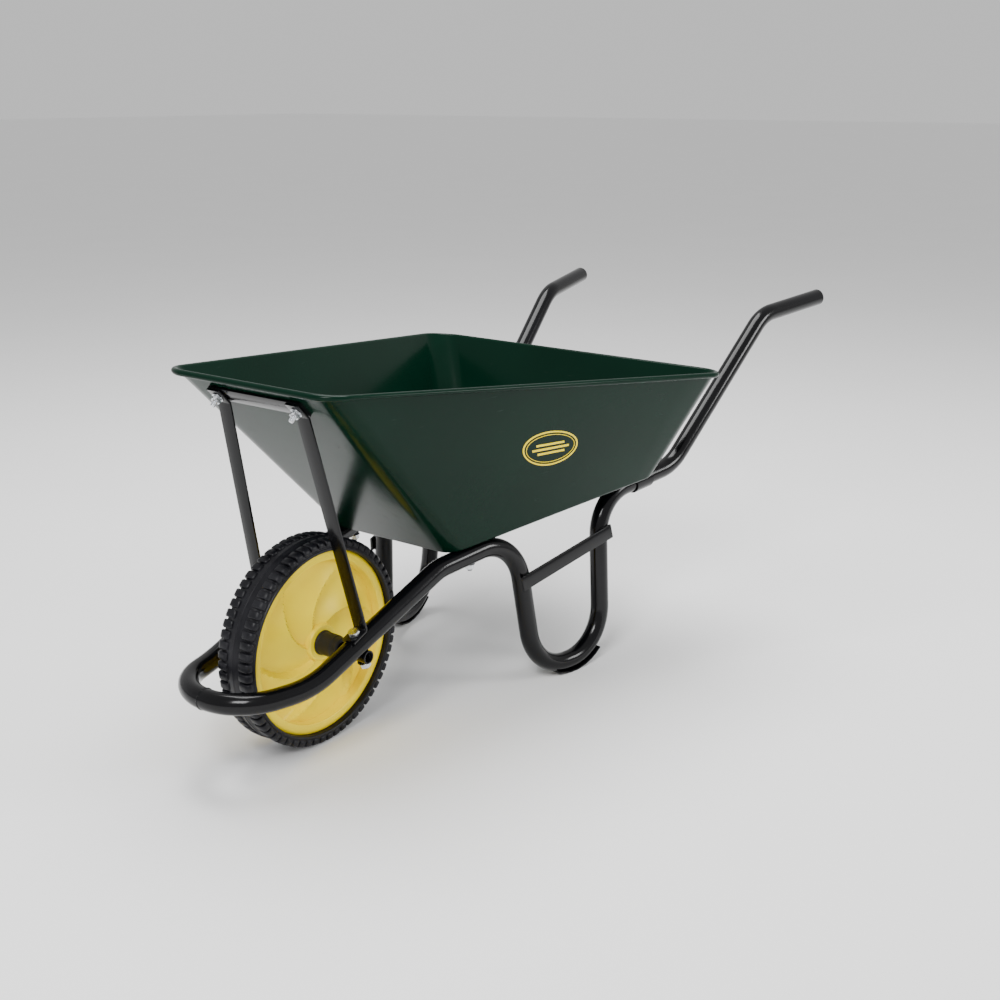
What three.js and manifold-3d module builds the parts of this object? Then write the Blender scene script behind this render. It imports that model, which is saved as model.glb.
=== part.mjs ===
// A single-wheel builder's wheelbarrow, built from the separate pieces that it is bolted and
// welded together from. Millimetres, +Z up, the wheel towards -X and the handles towards +X.
// The group is moved at the end so that its origin is the middle of the footprint on the ground.
import * as THREE from "three";
import { mergeVertices } from "three/addons/utils/BufferGeometryUtils.js";
import Module from "manifold-3d";

const wasm = await Module();
wasm.setup();

// ---------------------------------------------------------------- driving dimensions

// Gap between pieces that touch, and the play of a bolt in its drilled hole, on the radius.
const GAP = 0.3;
const HOLE_PLAY = 0.5;

// Tubes of the frame, the handles and the cross member.
const TUBE_RADIUS = 16;
const TUBE_WALL = 2;

// Wheel: x = 0 is its centre, which is as high as the tyre is big.
const WHEEL_RADIUS = 165;
const TYRE_WIDTH = 66;
const TYRE_SHOULDER = 9;
const TYRE_LIP = 3;
const TYRE_THICKNESS = 19;
const RIM_RADIUS = WHEEL_RADIUS - TYRE_THICKNESS;
const RIM_WIDTH = 50;
const RIM_FLANGE = 6;
const RIM_CHANNEL_DEPTH = 9;
const RIM_WALL = 7;
const WEB_THICKNESS = 7;
const WEB_STEP = 12;
const HUB_RADIUS = 29;
const HUB_WIDTH = 50;
const HUB_CHAMFER = 2;
const BUSH_RADIUS = 19.5;
const BUSH_DEPTH = 18;
const BUSH_END = 65;
const AXLE_RADIUS = 10.5;
const AXLE_WALL = 2.5;
const AXLE_OVERHANG = 14;
const AXLE_SEAT_DEPTH = 5;

// Nose hoop in front of the wheel.
const NOSE_CLEARANCE = 36;
const NOSE_REACH = WHEEL_RADIUS + TUBE_RADIUS + NOSE_CLEARANCE;
const NOSE_BELOW_AXLE = 17;
const NOSE_HEIGHT = WHEEL_RADIUS - NOSE_BELOW_AXLE;
const NOSE_CORNER = 66;
const NOSE_BEND = 84;

// Side tube from the nose up over the axle: its slope, and its half-widths on the way.
const CLIMB_SLOPE = 0.39;
const CLIMB_BEND = 170;
const CLIMB_LOW_WIDTH = 98;
const CLIMB_HIGH_WIDTH = 116;

// Outside of the tray's floor: its height at one place, and its slope.
const FLOOR_X = 237;
const FLOOR_ABOVE_AXLE = 113;
const FLOOR_HEIGHT = WHEEL_RADIUS + FLOOR_ABOVE_AXLE;
const FLOOR_SLOPE = 0.105;

// Tray seat and leg loops.
const SEAT_BEND = 100;
const FRONT_LEG_X = 352.3;
const FRONT_LEG_LEAN = -0.096;
const FRONT_LEG_BEND = 80;
const REAR_LEG_X = 526.4;
const REAR_LEG_LEAN = 0.05;
const REAR_LEG_BEND = 80;
const FOOT_BEND = 84;
const LEG_REFERENCE_HEIGHT = 110;
// Half-width of the plane of a leg loop: level with the axle at x = 0, then per mm of x and height.
const LEG_PLANE = { base: 86.8625, perX: 0.197, perZ: -0.0875 };

// Joint between frame tube and handle tube inside its socket.
const JOINT_X = 641;
const SOCKET_HALF_LENGTH = 21;
const SOCKET_WALL = 3;

// Handle tubes: riser and grip.
const RISER_X = 730;
const RISER_SLOPE = 0.873;
const RISER_BEND = 100;
const GRIP_BEND_X = 1010;
const GRIP_BEND = 90;
const GRIP_SLOPE = 0.087;
const GRIP_END_X = 1189;
const PLUG_DEPTH = 14;
const PLUG_LIP = 3;

// Cross member under the rear of the tray.
const CROSS_X = 604;
const REAR_BOLT_HALF_WIDTH = 100;

// Tray: half-widths and places of its virtual corners at the rim and at the floor.
const SHEET = 2;
const BEAD_RADIUS = 5;
const RIM_FRONT_ABOVE_AXLE = 427;
const RIM_REAR_ABOVE_AXLE = 340;
const RIM_FRONT = { x: -114, halfWidth: 163, height: WHEEL_RADIUS + RIM_FRONT_ABOVE_AXLE, radius: 45 };
const RIM_REAR = { x: 726, halfWidth: 334, height: WHEEL_RADIUS + RIM_REAR_ABOVE_AXLE, radius: 45 };
const FLOOR_FRONT = { x: 190, halfWidth: 128, radius: 38 };
const FLOOR_REAR = { x: 662, halfWidth: 251, radius: 50 };
const FLOOR_FILLET = 10;

// Flat bars: leg braces, front stays, the strip behind their tops, and the wear plates.
const BAR_THICKNESS = 4;
const BRACE_WIDTH = 25;
const BRACE_FRONT_ABOVE_AXLE = 27;
const BRACE_FRONT_HEIGHT = WHEEL_RADIUS + BRACE_FRONT_ABOVE_AXLE;
const BRACE_REAR_ABOVE_AXLE = 65;
const BRACE_REAR_HEIGHT = WHEEL_RADIUS + BRACE_REAR_ABOVE_AXLE;
const BRACE_OVERHANG = 14;
const STAY_WIDTH = 25;
const STAY_FOOT_FRONT = 15;
const STAY_FOOT_REAR = 17;
const STAY_TOP_REACH = 15;
const STAY_TOP_HALF_WIDTH = 79;
const STAY_TOP_DOWN = 45;
const STRIP_WIDTH = 30;
const STRIP_OVERHANG = 0;
const WEAR_THICKNESS = 3;
const WEAR_WIDTH = 26;
const WEAR_FLAT = 18;
const WEAR_FRONT_ANGLE = 20;
const WEAR_REAR_ANGLES = [17, 25, 33, 41];

// Fasteners: shank radius, size across the flats, heights of head and nut, and thread beyond it.
const AXLE_BOLT = { shank: 5, flats: 16, head: 6.5, nut: 8, tail: 4 };
const STAY_BOLT = { shank: 4, flats: 13, head: 4, nut: 6.5, tail: 8 };
const TRAY_BOLT = { shank: 4, flats: 13, head: 4, nut: 6.5, tail: 4 };
const WASHER_THICKNESS = 1.6;
const WASHER_MARGIN = 2.5;

// Facets: round the outside and the bore of a tube, a drilled hole, a thread, the wheel and
// the small turned pieces, and the degrees of bend from one ring of a tube to the next.
const TUBE_SIDES = 16;
const BORE_SIDES = 10;
const HOLE_SIDES = 12;
const WHEEL_SIDES = 48;
const TURNED_SIDES = 24;
const BEND_STEP = 15;
const ARC_STEPS = 3;
const CORNER_STEPS = 5;
const BEAD_STEPS = 6;

// ---------------------------------------------------------------- colours

const paint = (color, roughness, metalness) =>
  new THREE.MeshStandardMaterial({ color, roughness, metalness });
const GREEN_ENAMEL = paint(0x173a32, 0.25, 0.1);
const BLACK_ENAMEL = paint(0x101014, 0.25, 0.1);
const YELLOW_PLASTIC = paint(0xf5d400, 0.4, 0);
const BLACK_RUBBER = paint(0x1b1b1d, 0.75, 0);
const BLACK_PLASTIC = paint(0x111111, 0.5, 0);
const ZINC = paint(0xb9bec2, 0.35, 0.9);

// ---------------------------------------------------------------- solids and cuts

const vec = (x, y, z) => new THREE.Vector3(x, y, z);
const MIRROR = new THREE.Matrix4().makeScale(1, -1, 1);

// A geometry's triangles with their shared corners merged, and nothing but positions.
function bareOf(geometry) {
  const bare = geometry.clone();
  bare.deleteAttribute("normal");
  bare.deleteAttribute("uv");
  return mergeVertices(bare, 1e-3);
}

// A three.js geometry as a closed solid that can be cut, whichever way its faces point.
function solidOf(geometry) {
  const merged = bareOf(geometry);
  const corners = new Uint32Array(merged.index.array);
  const make = () =>
    new wasm.Manifold(
      new wasm.Mesh({
        numProp: 3,
        vertProperties: merged.attributes.position.array,
        triVerts: corners,
      }),
    );
  const solid = make();
  if (solid.volume() > 0) return solid;
  for (let i = 0; i < corners.length; i += 3) {
    [corners[i], corners[i + 1]] = [corners[i + 1], corners[i]];
  }
  return make();
}

function geometryOf(solid) {
  const mesh = solid.getMesh();
  const geometry = new THREE.BufferGeometry();
  geometry.setAttribute("position", new THREE.BufferAttribute(mesh.vertProperties, 3));
  geometry.setIndex(new THREE.BufferAttribute(mesh.triVerts, 1));
  const flat = geometry.toNonIndexed();
  flat.computeVertexNormals();
  return flat;
}

// The geometry with every cutter taken away from it, facing out.
function cut(geometry, cutters) {
  let solid = solidOf(geometry);
  for (const cutter of cutters) solid = solid.subtract(solidOf(cutter));
  return geometryOf(solid);
}

// Two geometries joined into one body.
function join(geometry, addition) {
  return geometryOf(solidOf(geometry).add(solidOf(addition)));
}

// A point a distance along a direction from another point.
const beyond = (point, direction, distance) => point.clone().addScaledVector(direction, distance);

// A matrix that stands a shape's own Z along a direction, at a point.
function standing(point, direction) {
  const turn = new THREE.Quaternion().setFromUnitVectors(vec(0, 0, 1), direction);
  return new THREE.Matrix4().compose(point, turn, vec(1, 1, 1));
}

// A solid cylinder from one point to another.
function rod(from, to, radius, sides = HOLE_SIDES) {
  const along = to.clone().sub(from);
  const geometry = new THREE.CylinderGeometry(radius, radius, along.length(), sides);
  geometry.rotateX(Math.PI / 2).translate(0, 0, along.length() / 2);
  return geometry.applyMatrix4(standing(from, along.normalize()));
}

// A closed profile of [radius, height] pairs turned round Z.
function turned(profile, sides) {
  const points = [...profile, profile[0]].map(([r, z]) => new THREE.Vector2(r, z));
  return new THREE.LatheGeometry(points, sides).rotateX(Math.PI / 2);
}

// The same piece for the other side, when that side is the left one.
const forSide = (side, geometry) => (side > 0 ? geometry : geometry.applyMatrix4(MIRROR));
const pointFor = (side, point) => vec(point.x, side * point.y, point.z);

// ---------------------------------------------------------------- tubes

// A polyline whose points are the rings of an extrusion, with nothing in between.
class Stations extends THREE.Curve {
  constructor(points) {
    super();
    this.points = points;
  }

  getUtoTmapping(u) {
    return u;
  }

  getPoint(t, target = vec(0, 0, 0)) {
    const place = Math.min(Math.max(t, 0), 1) * (this.points.length - 1);
    const index = Math.min(Math.floor(place), this.points.length - 2);
    return target.lerpVectors(this.points[index], this.points[index + 1], place - index);
  }
}

// Points of the arc that rounds a corner, from its tangent point along `back` to that along `ahead`.
function arcPoints(corner, back, ahead, radius, steps) {
  const half = back.angleTo(ahead) / 2;
  const centre = beyond(corner, back.clone().add(ahead).normalize(), radius / Math.sin(half));
  const start = beyond(corner, back, radius / Math.tan(half)).sub(centre);
  const axis = ahead.clone().cross(back).normalize();
  return Array.from({ length: steps + 1 }, (_, i) =>
    start.clone().applyAxisAngle(axis, ((Math.PI - 2 * half) * i) / steps).add(centre),
  );
}

// The ring points of one bend at a corner between two others.
function bendPoints(last, corner, next, radius) {
  const back = last.clone().sub(corner).normalize();
  const ahead = next.clone().sub(corner).normalize();
  const turn = 180 - THREE.MathUtils.radToDeg(back.angleTo(ahead));
  return arcPoints(corner, back, ahead, radius, Math.max(2, Math.ceil(turn / BEND_STEP)));
}

// The ring points of a line that turns at its corners, each inner corner with its bend radius.
function bentLine(corners) {
  const inner = corners.slice(1, -1);
  const bends = inner.flatMap(({ at, bend }, i) =>
    bendPoints(corners[i].at, at, corners[i + 2].at, bend),
  );
  return [corners[0].at, ...bends, corners[corners.length - 1].at];
}

function circlePath(path, radius, sides, direction) {
  for (let i = 0; i < sides; i += 1) {
    const angle = (direction * 2 * Math.PI * i) / sides;
    const x = radius * Math.cos(angle);
    const y = radius * Math.sin(angle);
    if (i === 0) path.moveTo(x, y);
    else path.lineTo(x, y);
  }
  path.closePath();
  return path;
}

// A round bar along ring points, or an open-ended tube when it has a bore.
function sweep(points, radius, bore) {
  const section = circlePath(new THREE.Shape(), radius, TUBE_SIDES, 1);
  if (bore) section.holes.push(circlePath(new THREE.Path(), bore, BORE_SIDES, -1));
  return new THREE.ExtrudeGeometry(section, {
    steps: points.length - 1,
    bevelEnabled: false,
    extrudePath: new Stations(points),
  });
}

// ---------------------------------------------------------------- places that pieces share

const floorHeight = (x) => FLOOR_HEIGHT + FLOOR_SLOPE * (x - FLOOR_X);
const floorUp = vec(-FLOOR_SLOPE, 0, 1).normalize();

// Height of the centre line of a tube that lies under the tray's floor.
const seatHeight = (x) => floorHeight(x) - (TUBE_RADIUS + GAP) / floorUp.z;

const climbUp = vec(-CLIMB_SLOPE, 0, 1).normalize();
const climbAlong = vec(1, 0, CLIMB_SLOPE).normalize();
const AXLE_TO_TUBE = TUBE_RADIUS + AXLE_RADIUS - AXLE_SEAT_DEPTH;
const CLIMB_RISE = AXLE_TO_TUBE / climbUp.z;
const climbHeight = (x) => WHEEL_RADIUS + CLIMB_RISE + CLIMB_SLOPE * x;
const CLIMB_LOW_X = (NOSE_HEIGHT - climbHeight(0)) / CLIMB_SLOPE;
const CLIMB_HIGH_X = (seatHeight(0) - climbHeight(0)) / (CLIMB_SLOPE - FLOOR_SLOPE);
const climbHalfWidth = (x) =>
  THREE.MathUtils.mapLinear(x, CLIMB_LOW_X, CLIMB_HIGH_X, CLIMB_LOW_WIDTH, CLIMB_HIGH_WIDTH);

const legHalfWidth = (x, z) =>
  LEG_PLANE.base + LEG_PLANE.perX * x + LEG_PLANE.perZ * (z - WHEEL_RADIUS);
const legPoint = (x, z) => vec(x, legHalfWidth(x, z), z);
const legOut = vec(-LEG_PLANE.perX, 1, -LEG_PLANE.perZ).normalize();
const frontLeg = (z) => legPoint(FRONT_LEG_X + FRONT_LEG_LEAN * (z - LEG_REFERENCE_HEIGHT), z);
const rearLeg = (z) => legPoint(REAR_LEG_X + REAR_LEG_LEAN * (z - LEG_REFERENCE_HEIGHT), z);
const underTray = (x) => legPoint(x, seatHeight(x));

// Height at which the line of a leg meets the line of the tubes under the tray.
const legTop = (x, lean) =>
  seatHeight(x - lean * LEG_REFERENCE_HEIGHT) / (1 - FLOOR_SLOPE * lean);
const FOOT_HEIGHT = WEAR_THICKNESS + GAP + TUBE_RADIUS;

// Middle of the axle's seat under one side tube.
const axleSeat = () => vec(0, climbHalfWidth(0), WHEEL_RADIUS);

// The stretch of side tube that the front of the tray sits on, and the bolts through it.
const seatStart = () => vec(CLIMB_HIGH_X, CLIMB_HIGH_WIDTH, seatHeight(CLIMB_HIGH_X));
const seatEnd = () => frontLeg(legTop(FRONT_LEG_X, FRONT_LEG_LEAN));
const trayBoltFront = () => {
  const along = (FLOOR_X - CLIMB_HIGH_X) / (seatEnd().x - CLIMB_HIGH_X);
  return seatStart().lerp(seatEnd(), along);
};
const trayBoltRear = () => vec(CROSS_X, REAR_BOLT_HALF_WIDTH, seatHeight(CROSS_X));

// Rim of the tray: a sloping plane through the tops of its bead.
const RIM_SLOPE = (RIM_REAR.height - RIM_FRONT.height) / (RIM_REAR.x - RIM_FRONT.x);
const rimHeight = (x) => RIM_FRONT.height + RIM_SLOPE * (x - RIM_FRONT.x);

// The outer face of a wall lies this far in from the crest of the bead.
const BEAD_OFFSET = BEAD_RADIUS - SHEET;

// Outer face of the tray's front wall, in the middle of the tray.
const wallTop = vec(RIM_FRONT.x + BEAD_OFFSET, 0, rimHeight(RIM_FRONT.x + BEAD_OFFSET));
const wallFoot = vec(FLOOR_FRONT.x, 0, floorHeight(FLOOR_FRONT.x));
const wallDown = wallFoot.clone().sub(wallTop).normalize();
const wallOut = vec(wallDown.z, 0, -wallDown.x);
const stayBoltSeat = () => beyond(wallTop, wallDown, STAY_TOP_DOWN).setY(STAY_TOP_HALF_WIDTH);

// ---------------------------------------------------------------- frame tubes

// Centre line of the right half of the frame: nose, climb, tray seat, leg loop, rear run.
function frameLine() {
  return bentLine([
    { at: vec(-NOSE_REACH, GAP / 2, NOSE_HEIGHT) },
    { at: vec(-NOSE_REACH, NOSE_CORNER, NOSE_HEIGHT), bend: NOSE_BEND },
    { at: vec(CLIMB_LOW_X, CLIMB_LOW_WIDTH, NOSE_HEIGHT), bend: CLIMB_BEND },
    { at: seatStart(), bend: SEAT_BEND },
    { at: seatEnd(), bend: FRONT_LEG_BEND },
    { at: frontLeg(FOOT_HEIGHT), bend: FOOT_BEND },
    { at: rearLeg(FOOT_HEIGHT), bend: FOOT_BEND },
    { at: rearLeg(legTop(REAR_LEG_X, REAR_LEG_LEAN)), bend: REAR_LEG_BEND },
    { at: underTray(JOINT_X - GAP / 2) },
  ]);
}

// Side tube, notched underneath for the axle and drilled for the bolts.
function frameTube(side) {
  const tube = sweep(frameLine(), TUBE_RADIUS, TUBE_RADIUS - TUBE_WALL);
  const level = vec(0, 2 * TUBE_RADIUS, 0);
  const notch = [axleSeat().sub(level), axleSeat().add(level)];
  return forSide(side, cut(tube, [
    rod(...notch, AXLE_RADIUS + GAP, TURNED_SIDES),
    boltHole(axleSeat(), climbUp, AXLE_BOLT),
    boltHole(trayBoltFront(), floorUp, TRAY_BOLT),
  ]));
}

// A through hole for a bolt, well beyond any pair of pieces that it clamps.
function boltHole(point, direction, { shank }) {
  const reach = 4 * TUBE_RADIUS;
  const from = beyond(point, direction, -reach);
  return rod(from, beyond(point, direction, reach), shank + HOLE_PLAY);
}

// Corners of the right handle: open front end, run under the tray, riser and grip.
function handleCorners() {
  const bendHeight = seatHeight(RISER_X) + RISER_SLOPE * (GRIP_BEND_X - RISER_X);
  const endHeight = bendHeight + GRIP_SLOPE * (GRIP_END_X - GRIP_BEND_X);
  return [
    { at: underTray(JOINT_X + GAP / 2) },
    { at: underTray(RISER_X), bend: RISER_BEND },
    { at: legPoint(GRIP_BEND_X, bendHeight), bend: GRIP_BEND },
    { at: legPoint(GRIP_END_X, endHeight) },
  ];
}

function handleTube(side) {
  return forSide(side, sweep(bentLine(handleCorners()), TUBE_RADIUS, TUBE_RADIUS - TUBE_WALL));
}

// Short sleeve round the butt joint of a frame tube and a handle tube, open along the top
// where the tray's floor lies on the tubes.
function handleSocket(side) {
  const ends = [-SOCKET_HALF_LENGTH, SOCKET_HALF_LENGTH].map((reach) => underTray(JOINT_X + reach));
  const bore = (TUBE_RADIUS + GAP) / Math.cos(Math.PI / BORE_SIDES);
  const sleeve = sweep(ends, TUBE_RADIUS + SOCKET_WALL, bore);
  const size = 4 * SOCKET_HALF_LENGTH;
  const above = new THREE.BoxGeometry(size, size, size).translate(0, 0, size / 2);
  const top = beyond(underTray(JOINT_X), floorUp, TUBE_RADIUS);
  return forSide(side, cut(sleeve, [above.applyMatrix4(standing(top, floorUp))]));
}

// Cross member under the rear of the tray, its ends shaped to the side tubes.
function crossTube() {
  const reach = underTray(CROSS_X).y - TUBE_RADIUS / 2;
  const height = seatHeight(CROSS_X);
  const ends = [vec(CROSS_X, -reach, height), vec(CROSS_X, reach, height)];
  const around = [-1, 1].map((side) => forSide(side, sweep(frameLine(), TUBE_RADIUS + GAP)));
  const holes = [-1, 1].map((side) => boltHole(pointFor(side, trayBoltRear()), floorUp, TRAY_BOLT));
  return cut(sweep(ends, TUBE_RADIUS, TUBE_RADIUS - TUBE_WALL), [...around, ...holes]);
}

// Plug in the open end of a grip: a lip outside and a spigot in the bore.
function handlePlug(side) {
  const corners = handleCorners();
  const end = corners[3].at;
  const along = end.clone().sub(corners[2].at).normalize();
  const bore = (TUBE_RADIUS - TUBE_WALL) * Math.cos(Math.PI / BORE_SIDES) - GAP;
  const profile = [
    [0, -PLUG_DEPTH],
    [bore, -PLUG_DEPTH],
    [bore, GAP],
    [TUBE_RADIUS, GAP],
    [TUBE_RADIUS, GAP + PLUG_LIP / 2],
    [TUBE_RADIUS - PLUG_LIP / 2, GAP + PLUG_LIP],
    [0, GAP + PLUG_LIP],
  ];
  return forSide(side, turned(profile, TUBE_SIDES).applyMatrix4(standing(end, along)));
}

// ---------------------------------------------------------------- flat bars

// A closed body through rings of four points, with flat ends.
function boxSweep(rings) {
  const index = [];
  for (let ring = 0; ring < rings.length - 1; ring += 1) {
    for (let i = 0; i < 4; i += 1) {
      const a = 4 * ring + i;
      const b = 4 * ring + ((i + 1) % 4);
      index.push(a, b, b + 4, a, b + 4, a + 4);
    }
  }
  const last = 4 * (rings.length - 1);
  index.push(0, 2, 1, 0, 3, 2, last, last + 1, last + 2, last, last + 2, last + 3);
  const geometry = new THREE.BufferGeometry().setFromPoints(rings.flat());
  geometry.setIndex(index);
  return geometry;
}

// A flat bar whose one face follows points: its width lies along `across`, and its thickness
// along the normal that `across` x the way along it gives.
function flatBar(points, across, width, thickness) {
  const ways = points.slice(1).map((point, i) => {
    const way = point.clone().sub(points[i]);
    return beyond(way, across, -way.dot(across)).normalize();
  });
  const rings = points.map((point, i) => {
    const before = ways[Math.max(i - 1, 0)];
    const after = ways[Math.min(i, ways.length - 1)];
    const normal = across.clone().cross(before.clone().add(after)).normalize();
    const depth = thickness / Math.cos(before.angleTo(after) / 2);
    const corner = (u, v) => beyond(beyond(point, across, (u * width) / 2), normal, v * depth);
    return [corner(-1, 0), corner(1, 0), corner(1, 1), corner(-1, 1)];
  });
  return boxSweep(rings);
}

// Flat brace across a leg loop, on the outside of both legs.
function legBrace(side) {
  const front = beyond(frontLeg(BRACE_FRONT_HEIGHT), legOut, TUBE_RADIUS + GAP);
  const rear = beyond(rearLeg(BRACE_REAR_HEIGHT), legOut, TUBE_RADIUS + GAP);
  const along = rear.clone().sub(front).normalize();
  const across = along.clone().cross(legOut).normalize();
  const ends = [beyond(front, along, -BRACE_OVERHANG), beyond(rear, along, BRACE_OVERHANG)];
  return forSide(side, flatBar(ends, across, BRACE_WIDTH, BAR_THICKNESS));
}

// Curved wear plate under a foot, flat where it stands on the ground.
function wearPlate(side) {
  const middle = (frontLeg(FOOT_HEIGHT).x + rearLeg(FOOT_HEIGHT).x) / 2;
  const radius = FOOT_BEND + TUBE_RADIUS + GAP;
  const around = (degrees) => {
    const angle = THREE.MathUtils.degToRad(degrees);
    const lift = radius * (1 - Math.cos(angle));
    return legPoint(middle + radius * Math.sin(angle), WEAR_THICKNESS + lift);
  };
  const line = [
    around(-WEAR_FRONT_ANGLE),
    legPoint(middle - WEAR_FLAT / 2, WEAR_THICKNESS),
    legPoint(middle + WEAR_FLAT / 2, WEAR_THICKNESS),
    ...WEAR_REAR_ANGLES.map(around),
  ];
  const bar = flatBar(line, vec(0, 1, 0), WEAR_WIDTH, WEAR_THICKNESS);
  const tube = sweep(frameLine(), TUBE_RADIUS + GAP);
  return forSide(side, cut(bar, [tube]));
}

// Front stay: its foot on the side tube, a long run, and its top on the strip.
function frontStay(side) {
  const seat = beyond(axleSeat(), climbUp, AXLE_TO_TUBE + TUBE_RADIUS + GAP);
  const top = beyond(stayBoltSeat(), wallOut, BAR_THICKNESS + 2 * GAP);
  const line = [
    beyond(seat, climbAlong, -STAY_FOOT_FRONT),
    beyond(seat, climbAlong, STAY_FOOT_REAR),
    beyond(top, wallDown, STAY_TOP_REACH),
    beyond(top, wallDown, -STAY_TOP_REACH),
  ];
  const bar = flatBar(line, vec(0, -1, 0), STAY_WIDTH, BAR_THICKNESS);
  const holes = [
    boltHole(axleSeat(), climbUp, AXLE_BOLT),
    boltHole(stayBoltSeat(), wallOut, STAY_BOLT),
  ];
  return forSide(side, cut(bar, holes));
}

// Flat strip across the tray's front wall, behind the tops of both stays.
function stayStrip() {
  const end = STAY_TOP_HALF_WIDTH + STAY_WIDTH / 2 + STRIP_OVERHANG;
  const face = beyond(stayBoltSeat(), wallOut, GAP);
  const ends = [face.clone().setY(-end), face.clone().setY(end)];
  const across = wallDown.clone().negate();
  const bar = flatBar(ends, across, STRIP_WIDTH, BAR_THICKNESS);
  return cut(bar, stayBoltHoles());
}

const stayBoltHoles = () =>
  [-1, 1].map((side) => forSide(side, boltHole(stayBoltSeat(), wallOut, STAY_BOLT)));

// ---------------------------------------------------------------- tray

// A plan outline of the tray with its four corners rounded, lying on a sloping plane: at each
// place the point, and the way inwards along the plane.
function trayOutline(front, rear, heightAt, slope) {
  const corner = (place, side) => [new THREE.Vector2(place.x, side * place.halfWidth), place.radius];
  const corners = [corner(front, 1), corner(rear, 1), corner(rear, -1), corner(front, -1)];
  return corners.flatMap(([at, radius], i) => {
    const back = corners[(i + 3) % 4][0].clone().sub(at).normalize();
    const ahead = corners[(i + 1) % 4][0].clone().sub(at).normalize();
    const half = Math.acos(back.dot(ahead)) / 2;
    const centre = at.clone().addScaledVector(back.clone().add(ahead).normalize(), radius / Math.sin(half));
    const start = at.clone().addScaledVector(back, radius / Math.tan(half));
    return Array.from({ length: CORNER_STEPS + 1 }, (_, step) => {
      const plan = start.clone().rotateAround(centre, ((2 * half - Math.PI) * step) / CORNER_STEPS);
      const way = centre.clone().sub(plan);
      return {
        point: vec(plan.x, plan.y, heightAt(plan.x)),
        inwards: vec(way.x, way.y, slope * way.x).normalize(),
      };
    });
  });
}

// Section of the tray's skin at one place: outside of the floor's edge, up the wall, round the
// rolled bead, and down the inside to the floor's edge again.
function traySection(foot, rim) {
  const top = beyond(rim.point, rim.inwards, BEAD_OFFSET);
  const up = top.clone().sub(foot.point).normalize();
  const angle = up.angleTo(foot.inwards);
  const diagonal = up.clone().add(foot.inwards).multiplyScalar(SHEET / Math.sin(angle));
  const out = beyond(foot.inwards.clone().negate(), up, up.dot(foot.inwards)).normalize();
  const skin = arcPoints(foot.point, foot.inwards, up, FLOOR_FILLET, ARC_STEPS);
  const lining = arcPoints(diagonal.add(foot.point), foot.inwards, up, FLOOR_FILLET - SHEET, ARC_STEPS);
  return [...skin, ...beadPoints(top, up, out), ...lining.reverse()];
}

// Rolled bead above the top of a wall, from the wall's outer face over to its inner one.
function beadPoints(top, up, out) {
  const centre = beyond(beyond(top, out, BEAD_OFFSET), up, -BEAD_RADIUS);
  const first = Math.acos(BEAD_OFFSET / BEAD_RADIUS) - Math.PI;
  return Array.from({ length: BEAD_STEPS + 1 }, (_, i) => {
    const angle = THREE.MathUtils.mapLinear(i, 0, BEAD_STEPS, first, Math.PI);
    const sideways = beyond(centre, out, BEAD_RADIUS * Math.cos(angle));
    return beyond(sideways, up, BEAD_RADIUS * Math.sin(angle));
  });
}

// The closed skin through sections that follow each other round the tray.
function traySkin(sections) {
  const count = sections[0].length;
  const index = [];
  sections.forEach((_, i) => {
    const here = i * count;
    const next = ((i + 1) % sections.length) * count;
    for (let j = 0; j < count - 1; j += 1) {
      index.push(here + j, next + j, next + j + 1, here + j, next + j + 1, here + j + 1);
    }
  });
  for (let i = 1; i < sections.length - 1; i += 1) {
    const here = i * count;
    const next = here + count;
    index.push(0, next, here, count - 1, here + count - 1, next + count - 1);
  }
  const skin = new THREE.BufferGeometry().setFromPoints(sections.flat());
  skin.setIndex(index);
  return skin;
}

function tray() {
  const rim = trayOutline(RIM_FRONT, RIM_REAR, rimHeight, RIM_SLOPE);
  const foot = trayOutline(FLOOR_FRONT, FLOOR_REAR, floorHeight, FLOOR_SLOPE);
  const sections = foot.map((place, i) => traySection(place, rim[i]));
  const floorHoles = [-1, 1].flatMap((side) =>
    [trayBoltFront(), trayBoltRear()].map((seat) =>
      forSide(side, boltHole(seat, floorUp, TRAY_BOLT)),
    ),
  );
  return cut(traySkin(sections), [...floorHoles, ...stayBoltHoles()]);
}

// ---------------------------------------------------------------- wheel

// A profile that is the same on both sides of the wheel's middle, turned and laid on the axle.
function wheelPiece(half, sides) {
  const other = half.map(([r, y]) => [r, -y]).reverse();
  return onAxle(turned([...half, ...other], sides));
}

// What was turned round Z, laid along the axle.
const onAxle = (geometry) => geometry.rotateX(Math.PI / 2).translate(0, 0, WHEEL_RADIUS);

function tyre() {
  const seat = RIM_WIDTH / 2 - RIM_FLANGE - GAP;
  const wide = TYRE_WIDTH / 2;
  const base = RIM_RADIUS + GAP;
  return wheelPiece([
    [RIM_RADIUS - RIM_CHANNEL_DEPTH + GAP, seat],
    [base, seat],
    [base, wide - TYRE_LIP],
    [base + TYRE_LIP, wide],
    [WHEEL_RADIUS - TYRE_SHOULDER, wide - TYRE_LIP / 2],
    [WHEEL_RADIUS - TYRE_LIP, wide - TYRE_SHOULDER / 2],
    [WHEEL_RADIUS, wide - TYRE_SHOULDER],
  ], WHEEL_SIDES);
}

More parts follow.
